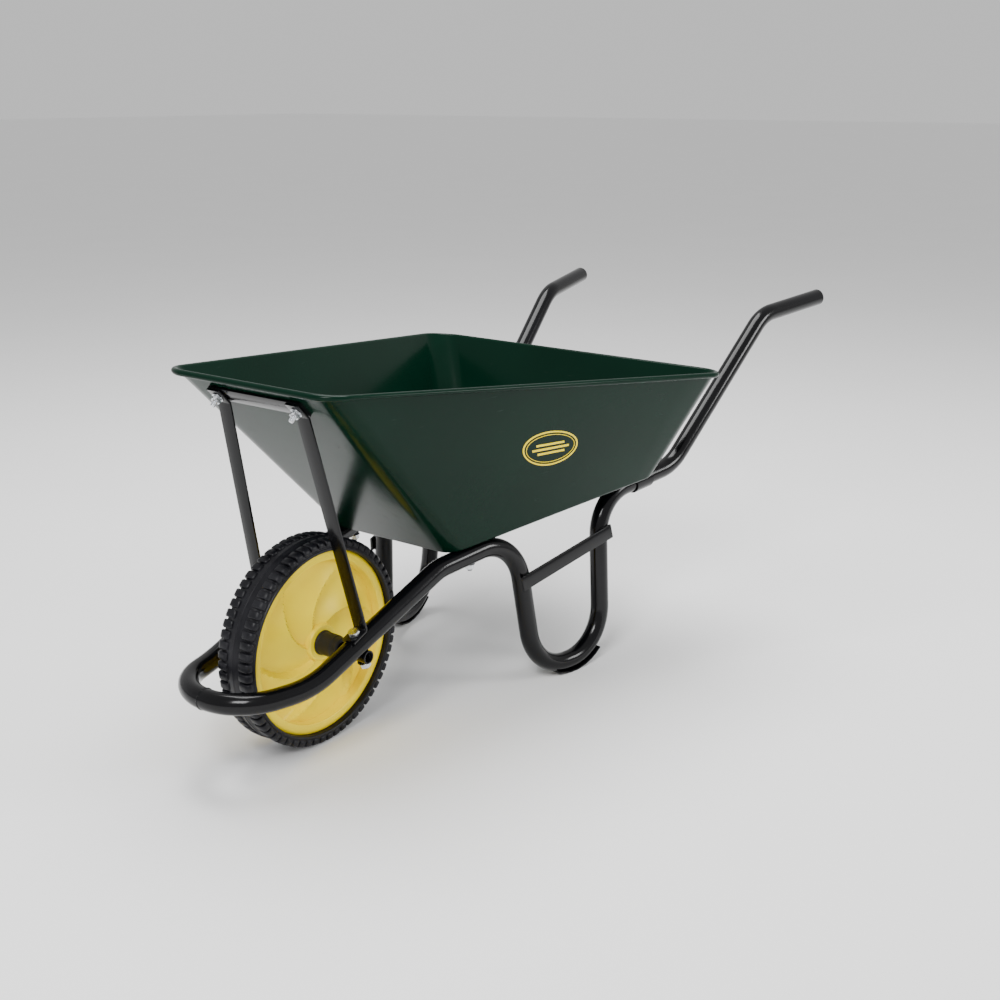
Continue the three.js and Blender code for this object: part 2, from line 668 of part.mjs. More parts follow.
function wheelDisc() {
  const edge = RIM_WIDTH / 2;
  const channel = RIM_RADIUS - RIM_CHANNEL_DEPTH;
  const barrel = channel - RIM_WALL;
  return wheelPiece([
    [BUSH_RADIUS + GAP, HUB_WIDTH / 2],
    [HUB_RADIUS - HUB_CHAMFER, HUB_WIDTH / 2],
    [HUB_RADIUS, HUB_WIDTH / 2 - HUB_CHAMFER],
    [HUB_RADIUS + WEB_STEP / 2, WEB_THICKNESS / 2],
    [barrel - WEB_STEP, WEB_THICKNESS / 2],
    [barrel, WEB_STEP],
    [barrel, edge],
    [RIM_RADIUS, edge],
    [RIM_RADIUS, edge - RIM_FLANGE],
    [channel, edge - RIM_FLANGE],
  ], WHEEL_SIDES);
}

// Bearing bush pressed into one end of the hub, with a long nose round the axle.
function hubBush(side) {
  const start = HUB_WIDTH / 2 - BUSH_DEPTH;
  const bore = (AXLE_RADIUS + GAP) / Math.cos(Math.PI / TURNED_SIDES);
  const profile = [
    [bore, start],
    [BUSH_RADIUS, start],
    [BUSH_RADIUS, BUSH_END],
    [bore, BUSH_END],
  ];
  return forSide(-side, onAxle(turned(profile, TURNED_SIDES)));
}

function axle() {
  const half = climbHalfWidth(0) + AXLE_OVERHANG;
  const profile = [
    [AXLE_RADIUS - AXLE_WALL, -half],
    [AXLE_RADIUS, -half],
    [AXLE_RADIUS, half],
    [AXLE_RADIUS - AXLE_WALL, half],
  ];
  const holes = [-1, 1].map((side) => forSide(side, boltHole(axleSeat(), climbUp, AXLE_BOLT)));
  return cut(onAxle(turned(profile, TURNED_SIDES)), holes);
}

// ---------------------------------------------------------------- fasteners

// A bolt whose head stands on its origin and whose shank hangs below it.
function bolt({ shank, flats, head }, length) {
  const across = flats / 2 / Math.cos(Math.PI / 6);
  const top = new THREE.CylinderGeometry(across, across, head, 6).rotateX(Math.PI / 2);
  const body = rod(vec(0, 0, -length), vec(0, 0, head / 2), shank);
  return join(top.translate(0, 0, head / 2), body);
}

// A nut whose face lies on its origin, below which it hangs.
function nut({ shank, flats, nut: height }) {
  const across = flats / 2 / Math.cos(Math.PI / 6);
  const body = new THREE.CylinderGeometry(across, across, height, 6).rotateX(Math.PI / 2);
  const clear = (shank + GAP) / Math.cos(Math.PI / HOLE_SIDES);
  const bore = rod(vec(0, 0, -2 * height), vec(0, 0, height), clear);
  return cut(body.translate(0, 0, -height / 2), [bore]);
}

// A washer whose upper face lies on its origin.
function washer({ shank, flats }) {
  const bore = shank + HOLE_PLAY;
  const outer = flats / 2 + WASHER_MARGIN;
  return turned([
    [bore, -WASHER_THICKNESS],
    [outer, -WASHER_THICKNESS],
    [outer, 0],
    [bore, 0],
  ], TUBE_SIDES);
}

// ---------------------------------------------------------------- assembly

const group = new THREE.Group();

function add(name, geometry, material) {
  const mesh = new THREE.Mesh(geometryOf(solidOf(geometry)), material);
  mesh.name = name;
  group.add(mesh);
}

// Both copies of a piece: the left hand is that of a person between the handles.
function addPair(name, build, material) {
  add(name + "_left", build(-1), material);
  add(name + "_right", build(1), material);
}

// Both copies of a bolt, its washer and its nut. The head lies on a face at `grip` above a
// point, and the washer and the nut lie below the face at `under` beneath it.
function addBolts(kind, size, point, direction, grip, under) {
  const washerAt = -under - GAP;
  const nutAt = washerAt - WASHER_THICKNESS - GAP;
  const length = grip + GAP - nutAt + size.nut + size.tail;
  const place = (shape, height) => (side) =>
    forSide(side, shape.clone().applyMatrix4(standing(beyond(point, direction, height), direction)));
  addPair(kind + "_bolt", place(bolt(size, length), grip + GAP), ZINC);
  addPair(kind + "_washer", place(washer(size), washerAt), ZINC);
  addPair(kind + "_nut", place(nut(size), nutAt), ZINC);
}

add("tray", tray(), GREEN_ENAMEL);
addPair("frame_tube", frameTube, BLACK_ENAMEL);
addPair("handle_tube", handleTube, BLACK_ENAMEL);
addPair("handle_socket", handleSocket, BLACK_ENAMEL);
addPair("handle_plug", handlePlug, BLACK_PLASTIC);
add("rear_cross_tube", crossTube(), BLACK_ENAMEL);
addPair("leg_brace", legBrace, BLACK_ENAMEL);
addPair("wear_plate", wearPlate, BLACK_ENAMEL);
addPair("front_stay", frontStay, BLACK_ENAMEL);
add("stay_strip", stayStrip(), BLACK_ENAMEL);
add("axle_tube", axle(), BLACK_ENAMEL);
add("wheel_disc", wheelDisc(), YELLOW_PLASTIC);
add("tyre", tyre(), BLACK_RUBBER);
addPair("hub_bush", hubBush, BLACK_PLASTIC);

const stayFace = AXLE_TO_TUBE + TUBE_RADIUS + GAP + BAR_THICKNESS;
addBolts("axle", AXLE_BOLT, axleSeat(), climbUp, stayFace, AXLE_RADIUS);
addBolts("stay", STAY_BOLT, stayBoltSeat(), wallOut.clone().negate(), SHEET, 2 * (BAR_THICKNESS + GAP));
const floorFace = TUBE_RADIUS + GAP + SHEET;
addBolts("tray_front", TRAY_BOLT, trayBoltFront(), floorUp, floorFace, TUBE_RADIUS);
addBolts("tray_rear", TRAY_BOLT, trayBoltRear(), floorUp, floorFace, TUBE_RADIUS);

// The origin is the middle of the footprint, on the ground.
const bounds = new THREE.Box3().setFromObject(group);
group.position.set(-(bounds.min.x + bounds.max.x) / 2, 0, -bounds.min.z);

export default group;
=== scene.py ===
"""A builder's wheelbarrow: pressed tray, tubular frame, moulded wheel and its fasteners.

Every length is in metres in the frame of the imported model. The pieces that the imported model
holds as plain solids are made here again with their real roundness, tread, ribs and threads.
"""
import logging
import math
from dataclasses import dataclass, field
from enum import Enum
from typing import Any, Callable, Iterable, Sequence

import bmesh
import bpy
from mathutils import Matrix, Vector


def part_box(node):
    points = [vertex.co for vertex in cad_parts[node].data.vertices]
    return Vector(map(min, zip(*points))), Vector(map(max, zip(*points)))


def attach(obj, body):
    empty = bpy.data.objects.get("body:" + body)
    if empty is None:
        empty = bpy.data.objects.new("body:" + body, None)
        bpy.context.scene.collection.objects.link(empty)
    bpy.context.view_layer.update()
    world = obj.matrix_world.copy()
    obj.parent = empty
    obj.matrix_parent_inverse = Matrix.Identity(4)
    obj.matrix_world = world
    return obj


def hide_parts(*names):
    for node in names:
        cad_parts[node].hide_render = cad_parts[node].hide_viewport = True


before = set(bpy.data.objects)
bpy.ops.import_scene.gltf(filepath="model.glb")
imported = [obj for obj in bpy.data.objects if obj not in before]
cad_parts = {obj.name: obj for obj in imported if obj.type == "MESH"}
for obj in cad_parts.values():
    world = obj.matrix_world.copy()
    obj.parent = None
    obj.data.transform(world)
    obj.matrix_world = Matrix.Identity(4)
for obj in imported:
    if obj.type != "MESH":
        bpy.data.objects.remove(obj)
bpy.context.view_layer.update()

LOG = logging.getLogger("wheelbarrow")
MM = 0.001


class Body(Enum):
    """The bodies that a piece can ride on."""

    FRAME = "frame"
    WHEEL = "wheel"


class Side(Enum):
    """The two sides of the barrow, as seen by the person between the handles."""

    LEFT = -1
    RIGHT = 1

    @property
    def label(self) -> str:
        """The word that the nodes of this side end in."""
        return self.name.lower()


# ---------------------------------------------------------------- shader maths


class Value:
    """A shader socket that numbers and other sockets can be combined with."""

    def __init__(self, shader: "Shader", socket: Any) -> None:
        """Wraps a socket.

        Args:
            shader: The material's node builder.
            socket: The output socket.
        """
        self.shader = shader
        self.socket = socket

    def _math(self, operation: str, *others: "Value | float") -> "Value":
        """One Math node on this value and others."""
        made = self.shader.node("ShaderNodeMath", {"operation": operation}, [self, *others])
        return Value(self.shader, made.outputs[0])

    def __add__(self, other: "Value | float") -> "Value":
        """The sum."""
        return self._math("ADD", other)

    __radd__ = __add__

    def __mul__(self, other: "Value | float") -> "Value":
        """The product."""
        return self._math("MULTIPLY", other)

    __rmul__ = __mul__

    def __rsub__(self, other: float) -> "Value":
        """The difference, the other way round."""
        return (self * -1.0) + other

    def band(self, low: float, high: float) -> "Value":
        """0 below `low`, 1 above `high`, and smooth between them."""
        made = self.shader.node(
            "ShaderNodeMapRange",
            {"interpolation_type": "SMOOTHSTEP"},
            {"Value": self, "From Min": low, "From Max": high},
        )
        return Value(self.shader, made.outputs[0])



Colour = tuple[float, float, float]


class Shader:
    """Builds one procedural material on a Principled BSDF."""

    def __init__(self, name: str) -> None:
        """Starts an empty material.

        Args:
            name: The material's name.
        """
        self.material = bpy.data.materials.new(name)
        self.material.use_nodes = True
        self.tree = self.material.node_tree
        self.surface = self.tree.nodes["Principled BSDF"]
        self.place = self.node("ShaderNodeTexCoord").outputs["Object"]

    def node(
        self,
        kind: str,
        settings: dict[str, Any] | None = None,
        inputs: dict[str, Any] | Sequence[Any] | None = None,
    ) -> Any:
        """Makes any node.

        Args:
            kind: The node's type.
            settings: Its own settings, set first.
            inputs: What its sockets take, by name or in order: a value, a Value or a socket.

        Returns:
            The node.
        """
        made = self.tree.nodes.new(kind)
        for key, value in (settings or {}).items():
            setattr(made, key, value)
        pairs = inputs.items() if isinstance(inputs, dict) else enumerate(inputs or [])
        for key, value in pairs:
            self.feed(made.inputs[key], value)
        return made

    def feed(self, socket: Any, value: Any) -> None:
        """Links or sets one socket."""
        if isinstance(value, Value):
            self.tree.links.new(value.socket, socket)
        elif isinstance(value, bpy.types.NodeSocket):
            self.tree.links.new(value, socket)
        elif isinstance(value, tuple) and len(value) == 3 and len(socket.default_value) == 4:
            socket.default_value = (*value, 1.0)
        else:
            socket.default_value = value

    def noise(self, scale: float, detail: float = 3.0, stretch: Colour = (1, 1, 1)) -> Value:
        """Noise over the object's own coordinates, in cells per metre."""
        place = self.node("ShaderNodeMapping", None, {"Vector": self.place, "Scale": stretch})
        made = self.node(
            "ShaderNodeTexNoise",
            None,
            {"Vector": place.outputs[0], "Scale": scale, "Detail": detail},
        )
        return Value(self, made.outputs["Fac"])

    def speckle(self, scale: float) -> Value:
        """Distance to the nearest of many scattered points, for grains and specks."""
        made = self.node("ShaderNodeTexVoronoi", None, {"Vector": self.place, "Scale": scale})
        return Value(self, made.outputs["Distance"])

    def mix(self, factor: Value, first: Any, second: Any) -> Any:
        """A colour between two others.

        Args:
            factor: 0 gives the first and 1 the second.
            first: A colour or a colour socket.
            second: A colour or a colour socket.

        Returns:
            The colour socket.
        """
        made = self.node("ShaderNodeMix", {"data_type": "RGBA"})
        self.feed(made.inputs[0], factor)
        self.feed(made.inputs[6], first)
        self.feed(made.inputs[7], second)
        return made.outputs[2]

    def bump(self, height: Value, distance: float, strength: float = 1.0) -> None:
        """Feeds the surface's normal from a height."""
        made = self.node(
            "ShaderNodeBump", None, {"Height": height, "Distance": distance, "Strength": strength}
        )
        self.tree.links.new(made.outputs[0], self.surface.inputs["Normal"])

    def dress(self, **values: Any) -> None:
        """Sets or links the sockets of the surface, named with _ for a space."""
        names = {socket.name.replace(" ", "_").lower(): socket for socket in self.surface.inputs}
        for name, value in values.items():
            self.feed(names[name], value)


# ---------------------------------------------------------------- finishes


@dataclass(frozen=True)
class GlossEnamel:
    """Stoved gloss paint on sheet or tube, with a faint orange peel and a little dust."""

    name: str
    colour: Colour
    shade: Colour
    roughness: float = 0.2
    coat: float = 0.5
    specular: float = 0.2
    peel: float = 0.00025

    def material(self) -> bpy.types.Material:
        """Builds the material.

        Returns:
            The material.
        """
        shader = Shader(self.name)
        cloud = shader.noise(5.0, 4.0).band(0.35, 0.7)
        dust = shader.noise(60.0, 6.0).band(0.52, 0.8)
        scuff = shader.noise(26.0, 5.0, (1, 1, 8)).band(0.66, 0.8)
        colour = shader.mix(cloud, self.colour, self.shade)
        shader.dress(
            base_color=shader.mix(scuff * 0.03, colour, (0.2, 0.22, 0.22)),
            roughness=self.roughness + dust * 0.06 + scuff * 0.1,
            specular_ior_level=self.specular,
            coat_weight=self.coat,
            coat_roughness=0.06,
        )
        shader.bump(shader.noise(420.0, 2.0) + shader.noise(60.0, 2.0) * 0.7, self.peel, 0.35)
        return shader.material


@dataclass(frozen=True)
class MouldedPlastic:
    """Injection-moulded plastic with a fine grain and soft flow marks."""

    name: str
    colour: Colour
    shade: Colour
    roughness: float

    def material(self) -> bpy.types.Material:
        """Builds the material.

        Returns:
            The material.
        """
        shader = Shader(self.name)
        flow = shader.noise(14.0, 3.0).band(0.3, 0.75)
        specks = 1.0 - shader.speckle(95.0).band(0.03, 0.07)
        rare = shader.noise(33.0, 2.0).band(0.66, 0.7)
        shader.dress(
            base_color=shader.mix(
                specks * rare * 0.6, shader.mix(flow, self.colour, self.shade), (0.12, 0.09, 0.05)
            ),
            roughness=self.roughness + shader.noise(40.0, 4.0) * 0.12,
            specular_ior_level=0.25,
        )
        shader.bump(shader.noise(900.0, 2.0), 0.0001, 0.25)
        return shader.material


@dataclass(frozen=True)
class MouldedRubber:
    """Dull moulded rubber with a bloom of dust in scattered patches."""

    name: str
    colour: Colour = (0.004, 0.004, 0.006)
    bloom: Colour = (0.01, 0.01, 0.013)

    def material(self) -> bpy.types.Material:
        """Builds the material.

        Returns:
            The material.
        """
        shader = Shader(self.name)
        patch = shader.noise(38.0, 5.0).band(0.4, 0.75)
        grain = shader.noise(900.0, 2.0)
        shader.dress(
            base_color=shader.mix(patch, self.colour, self.bloom),
            roughness=patch * 0.16 + grain * 0.08 + 0.34,
            specular_ior_level=0.25,
        )
        shader.bump(grain + shader.noise(130.0, 3.0) * 1.5, 0.0002, 0.4)
        return shader.material


@dataclass(frozen=True)
class ZincPlate:
    """Bright zinc plating with faint turning marks and dull spots."""

    name: str

    def material(self) -> bpy.types.Material:
        """Builds the material.

        Returns:
            The material.
        """
        shader = Shader(self.name)
        dull = shader.noise(240.0, 4.0).band(0.45, 0.7)
        shader.dress(
            base_color=shader.mix(dull, (0.66, 0.68, 0.71), (0.45, 0.46, 0.48)),
            roughness=dull * 0.2 + 0.2,
            metallic=1.0,
        )
        shader.bump(shader.noise(700.0, 2.0), 0.0001, 0.4)
        return shader.material


@dataclass(frozen=True)
class PaleFloor:
    """Matt studio floor."""

    name: str
    colour: Colour = (0.93, 0.93, 0.93)

    def material(self) -> bpy.types.Material:
        """Builds the material.

        Returns:
            The material.
        """
        shader = Shader(self.name)
        tone = shader.noise(2.0, 2.0)
        shader.dress(
            base_color=shader.mix(tone, self.colour, (0.9, 0.9, 0.9)),
            roughness=0.75,
            specular_ior_level=0.2,
        )
        return shader.material


class Slot(Enum):
    """The record's material slots."""

    GREEN = "green_enamel"
    BLACK = "black_enamel"
    YELLOW = "yellow_plastic"
    RUBBER = "black_rubber"
    PLASTIC = "black_plastic"
    ZINC = "zinc_plate"


FINISHES = {
    Slot.GREEN: GlossEnamel(
        "tray_enamel", (0.0008, 0.0145, 0.0075), (0.0006, 0.012, 0.006), 0.2, 0.03, 0.08
    ),
    Slot.BLACK: GlossEnamel("tube_enamel", (0.0015, 0.0015, 0.002), (0.003, 0.003, 0.004), 0.16, 0.1),
    Slot.YELLOW: MouldedPlastic("wheel_plastic", (0.95, 0.73, 0.0), (0.9, 0.66, 0.0), 0.3),
    Slot.RUBBER: MouldedRubber("tyre_rubber"),
    Slot.PLASTIC: MouldedPlastic("bush_plastic", (0.01, 0.01, 0.01), (0.02, 0.02, 0.02), 0.42),
    Slot.ZINC: ZincPlate("bolt_zinc"),
}
MATERIALS: dict[Slot, bpy.types.Material] = {}


def material_of(slot: Slot) -> bpy.types.Material:
    """The one material of a slot."""
    if slot not in MATERIALS:
        MATERIALS[slot] = FINISHES[slot].material()
    return MATERIALS[slot]


# ---------------------------------------------------------------- pieces


def add_piece(
    name: str,
    mesh: bpy.types.Mesh,
    slot: Slot,
    body: Body,
    nodes: Iterable[str] = (),
    smooth_degrees: float = 35.0,
) -> bpy.types.Object:
    """Adds one finished piece.

    Args:
        name: The piece's name.
        mesh: Its mesh, already in place.
        slot: The finish that it takes.
        body: The body that it rides on.
        nodes: The nodes that it stands for.
        smooth_degrees: Edges sharper than this stay sharp.

    Returns:
        The object.
    """
    mesh.materials.clear()
    mesh.materials.append(material_of(slot))
    mesh.shade_smooth()
    mesh.set_sharp_from_angle(angle=math.radians(smooth_degrees))
    piece = bpy.data.objects.new(name, mesh)
    bpy.context.scene.collection.objects.link(piece)
    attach(piece, body.value)
    if nodes:
        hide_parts(*nodes)
    LOG.info("%s: %d faces on %s", name, len(mesh.polygons), body.value)
    return piece


def mesh_from(name: str, build: Callable[[bmesh.types.BMesh], None]) -> bpy.types.Mesh:
    """A mesh that a function fills, with doubles merged and faces outwards.

    Args:
        name: The mesh's name.
        build: Fills the empty mesh.

    Returns:
        The mesh.
    """
    work = bmesh.new()
    build(work)
    bmesh.ops.remove_doubles(work, verts=work.verts, dist=1e-6)
    bmesh.ops.recalc_face_normals(work, faces=work.faces)
    mesh = bpy.data.meshes.new(name)
    work.to_mesh(mesh)
    work.free()
    return mesh


def rings_to_faces(
    work: bmesh.types.BMesh, rings: Sequence[Sequence[Vector]], closed_way: bool, capped: bool
) -> None:
    """Skins rings of points.

    Args:
        work: The mesh to add to.
        rings: Rings of the same number of points.
        closed_way: The last ring joins the first.
        capped: The first and last rings get a face.
    """
    made = [[work.verts.new(point) for point in ring] for ring in rings]
    count = len(made)
    size = len(made[0])
    for i in range(count if closed_way else count - 1):
        here, there = made[i], made[(i + 1) % count]
        for j in range(size):
            k = (j + 1) % size
            work.faces.new((here[j], here[k], there[k], there[j]))
    if capped and not closed_way:
        work.faces.new(made[0])
        work.faces.new(made[-1][::-1])


def turned(name: str, profile: Sequence[tuple[float, float]], place: Matrix, sides: int) -> Any:
    """A closed profile of (radius, height) turned round Z, then placed.

    Args:
        name: The mesh's name.
        profile: The closed outline; a radius of 0 lies on the axis.
        place: Where it stands.
        sides: Facets round it.

    Returns:
        The mesh.
    """

    def build(work: bmesh.types.BMesh) -> None:
        """Fills the mesh."""
        rings = [
            [
                place @ Vector((r * math.cos(a), r * math.sin(a), z))
                for r, z in profile
            ]
            for a in (2 * math.pi * i / sides for i in range(sides))
        ]
        rings_to_faces(work, rings, True, False)
        bmesh.ops.remove_doubles(work, verts=work.verts, dist=1e-6)
        bmesh.ops.dissolve_degenerate(work, edges=work.edges, dist=1e-7)

    return mesh_from(name, build)


def standing(point: Vector, direction: Vector) -> Matrix:
    """A matrix that stands Z along a direction at a point."""
    return Matrix.Translation(point) @ direction.to_track_quat("Z", "Y").to_matrix().to_4x4()


# ---------------------------------------------------------------- geometry nodes


class NodeTree:
    """A small geometry-node tree with named inputs, built in the script."""

    def __init__(self, name: str) -> None:
        """Starts a tree with a geometry input and output.

        Args:
            name: The tree's name.
        """
        self.tree = bpy.data.node_groups.new(name, "GeometryNodeTree")
        self.tree.interface.new_socket("Geometry", in_out="INPUT", socket_type="NodeSocketGeometry")
        self.tree.interface.new_socket("Geometry", in_out="OUTPUT", socket_type="NodeSocketGeometry")
        self.start = self.tree.nodes.new("NodeGroupInput")
        self.end = self.tree.nodes.new("NodeGroupOutput")

    def number(self, name: str, whole: bool = False) -> Any:
        """A named input.

        Args:
            name: The input's name.
            whole: It counts something.

        Returns:
            The socket that it comes out of.
        """
        kind = "NodeSocketInt" if whole else "NodeSocketFloat"
        self.tree.interface.new_socket(name, in_out="INPUT", socket_type=kind)
        return self.start.outputs[name]

    def node(self, kind: str, settings: dict[str, Any] | None = None, **inputs: Any) -> Any:
        """Makes any node.

        Args:
            kind: The node's type.
            settings: Its own settings.
            inputs: Its sockets by name, with _ for a space: a value or a socket.

        Returns:
            The node.
        """
        made = self.tree.nodes.new(kind)
        for key, value in (settings or {}).items():
            setattr(made, key, value)
        for key, value in inputs.items():
            socket = made.inputs[key.replace("_", " ")]
            if isinstance(value, bpy.types.NodeSocket):
                self.tree.links.new(value, socket)
            else:
                socket.default_value = value
        return made

    def finish(self, geometry: Any, slot: Slot) -> None:
        """Ends the tree in Realize Instances and Set Material."""
        real = self.node("GeometryNodeRealizeInstances", None, Geometry=geometry)
        dressed = self.node(
            "GeometryNodeSetMaterial", None, Geometry=real.outputs[0], Material=material_of(slot)
        )
        self.tree.links.new(dressed.outputs[0], self.end.inputs[0])

    def run(self, name: str, mesh: bpy.types.Mesh, **values: float) -> bpy.types.Mesh:
        """Runs the tree on a mesh.

        Args:
            name: The name of the mesh that comes out.
            mesh: What goes in.
            values: The named inputs, with _ for a space.

        Returns:
            The result as a plain mesh.
        """
        holder = bpy.data.objects.new(name + "_maker", mesh)
        bpy.context.scene.collection.objects.link(holder)
        modifier = holder.modifiers.new("maker", "NODES")
        modifier.node_group = self.tree
        for item in self.tree.interface.items_tree:
            key = item.name.replace(" ", "_")
            if item.item_type == "SOCKET" and item.in_out == "INPUT" and key in values:
                modifier[item.identifier] = values[key]
        graph = bpy.context.evaluated_depsgraph_get()
        result = bpy.data.meshes.new_from_object(holder.evaluated_get(graph), depsgraph=graph)
        result.name = name
        holder.modifiers.remove(modifier)
        bpy.data.objects.remove(holder)
        return result


def path_tube_tree() -> NodeTree:
    """A tree that turns a line of edges into a round bar.

    Returns:
        The tree, with inputs Radius and Sides.
    """
    tree = NodeTree("bent_tube")
    radius = tree.number("Radius")
    sides = tree.number("Sides", True)
    line = tree.node("GeometryNodeMeshToCurve", None, Mesh=tree.start.outputs["Geometry"])
    ring = tree.node("GeometryNodeCurvePrimitiveCircle", None, Radius=radius, Resolution=sides)
    bar = tree.node(
        "GeometryNodeCurveToMesh",
        None,
        Curve=line.outputs[0],
        Profile_Curve=ring.outputs[0],
        Fill_Caps=True,
    )
    tree.finish(bar.outputs[0], Slot.BLACK)
    return tree


def ring_tree(name: str, slot: Slot) -> NodeTree:
    """A tree that repeats a mesh round the Y axis.

    Args:
        name: The tree's name.
        slot: The finish of the copies.

    Returns:
        The tree, with inputs Count and Start.
    """
    tree = NodeTree(name)
    count = tree.number("Count", True)
    start = tree.number("Start")
    index = tree.node("GeometryNodeInputIndex")
    points = tree.node("GeometryNodePoints", None, Count=count)
    step = tree.node("ShaderNodeMath", {"operation": "DIVIDE"})
    step.inputs[0].default_value = 2 * math.pi
    tree.tree.links.new(count, step.inputs[1])
    turn = tree.node("ShaderNodeMath", {"operation": "MULTIPLY_ADD"})
    tree.tree.links.new(index.outputs[0], turn.inputs[0])
    tree.tree.links.new(step.outputs[0], turn.inputs[1])
    tree.tree.links.new(start, turn.inputs[2])
    angles = tree.node("ShaderNodeCombineXYZ")
    tree.tree.links.new(turn.outputs[0], angles.inputs["Y"])
    copies = tree.node(
        "GeometryNodeInstanceOnPoints",
        None,
        Points=points.outputs[0],
        Instance=tree.start.outputs["Geometry"],
    )
    tree.tree.links.new(angles.outputs[0], copies.inputs["Rotation"])
    tree.finish(copies.outputs[0], slot)
    return tree


def line_mesh(name: str, points: Sequence[Vector]) -> bpy.types.Mesh:
    """A mesh of edges through points."""
    mesh = bpy.data.meshes.new(name)
    mesh.from_pydata(points, [(i, i + 1) for i in range(len(points) - 1)], [])
    return mesh


# ---------------------------------------------------------------- the barrow's own lines


@dataclass
class Corner:
    """A corner of a bent line and the radius of its bend."""

    at: Vector
    bend: float = 0.0


def arc(corner: Vector, back: Vector, ahead: Vector, radius: float, steps: int) -> list[Vector]:
    """Points of the arc that rounds a corner.

    Args:
        corner: The virtual corner.
        back: Unit direction back along the line.
        ahead: Unit direction ahead.
        radius: The arc's radius.
        steps: Chords in the arc.

    Returns:
        Its points, tangent points included.
    """
    half = back.angle(ahead) / 2
    centre = corner + (back + ahead).normalized() * (radius / math.sin(half))
    start = corner + back * (radius / math.tan(half)) - centre
    axis = ahead.cross(back).normalized()
    turn = math.pi - 2 * half
    return [
        centre + Matrix.Rotation(turn * i / steps, 3, axis) @ start for i in range(steps + 1)
    ]


def bent_line(corners: Sequence[Corner], step_degrees: float = 4.0) -> list[Vector]:
    """Points along a line with rounded corners.

    Args:
        corners: The virtual corners; the two ends have no bend.
        step_degrees: Bend from one point to the next.

    Returns:
        The points.
    """
    points = [corners[0].at]
    for last, corner, following in zip(corners, corners[1:], corners[2:]):
        back = (last.at - corner.at).normalized()
        ahead = (following.at - corner.at).normalized()
        turn = 180 - math.degrees(back.angle(ahead))
        steps = max(4, math.ceil(turn / step_degrees))
        points += arc(corner.at, back, ahead, corner.bend, steps)
    return [*points, corners[-1].at]


@dataclass
class Layout:
    """The sizes that several sub-assemblies share, in millimetres from the wheel's centre."""

    gap: float = 0.3
    tube_radius: float = 16.0
    wheel_radius: float = 165.0
    axle_radius: float = 10.5
    axle_seat_depth: float = 5.0
    floor_x: float = 237.0
    floor_height: float = 278.0
    floor_slope: float = 0.105
    climb_slope: float = 0.39
    climb_low_width: float = 98.0
    climb_high_width: float = 116.0
    nose_height: float = 148.0
    leg_base: float = 101.3
    leg_per_x: float = 0.197
    leg_per_z: float = -0.0875
    leg_height: float = 110.0
    front_leg: tuple[float, float] = (352.3, -0.096)
    rear_leg: tuple[float, float] = (526.4, 0.05)
    foot_height: float = 19.3
    foot_bend: float = 84.0
    shift: float = field(default=0.0)

    def __post_init__(self) -> None:
        """Finds how far the wheel's centre lies from the origin."""
        low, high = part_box("tyre")
        self.shift = (low[0] + high[0]) / 2 / MM
        self.floor_up = Vector((-self.floor_slope, 0, 1)).normalized()
        self.climb_up = Vector((-self.climb_slope, 0, 1)).normalized()
        self.climb_along = Vector((1, 0, self.climb_slope)).normalized()
        self.climb_height = self.wheel_radius + self.axle_to_tube / self.climb_up.z
        self.climb_low_x = (self.nose_height - self.climb_height) / self.climb_slope
        self.climb_high_x = (self.seat_height(0) - self.climb_height) / (
            self.climb_slope - self.floor_slope
        )

    @property
    def axle_to_tube(self) -> float:
        """Distance from the axle's centre to the tube's."""
        return self.tube_radius + self.axle_radius - self.axle_seat_depth

    def floor(self, x: float) -> float:
        """Height of the outside of the tray's floor."""
        return self.floor_height + self.floor_slope * (x - self.floor_x)

    def seat_height(self, x: float) -> float:
        """Height of the centre of a tube that lies under the floor."""
        up = Vector((-self.floor_slope, 0, 1)).normalized()
        return self.floor(x) - (self.tube_radius + self.gap) / up.z

    def climb_half_width(self, x: float) -> float:
        """Half-width of the climbing stretch of tube."""
        share = (x - self.climb_low_x) / (self.climb_high_x - self.climb_low_x)
        return self.climb_low_width + share * (self.climb_high_width - self.climb_low_width)

    def leg_point(self, x: float, z: float) -> Vector:
        """A point of the right-hand leg plane."""
        return Vector((x, self.leg_base + self.leg_per_x * x + self.leg_per_z * z, z))

    def on_leg(self, leg: tuple[float, float], z: float) -> Vector:
        """A point of a leg's centre line."""
        return self.leg_point(leg[0] + leg[1] * (z - self.leg_height), z)

    def leg_top(self, leg: tuple[float, float]) -> float:
        """Height where a leg's line meets the line under the tray."""
        return self.seat_height(leg[0] - leg[1] * self.leg_height) / (
            1 - self.floor_slope * leg[1]
        )

    def under_tray(self, x: float) -> Vector:
        """A point of the line of the tubes under the tray."""
        return self.leg_point(x, self.seat_height(x))

    def axle_seat(self) -> Vector:
        """Middle of the axle's seat under the right-hand tube."""
        return Vector((0, self.climb_half_width(0), self.wheel_radius))

    def place(self, point: Vector, side: Side = Side.RIGHT) -> Vector:
        """A point of the right-hand side as metres in the model's frame, on either side."""
        return Vector(((point.x + self.shift) * MM, side.value * point.y * MM, point.z * MM))

    def turn(self, direction: Vector, side: Side) -> Vector:
        """A direction of the right-hand side, on either side."""
        return Vector((direction.x, side.value * direction.y, direction.z))


PLAN = Layout()


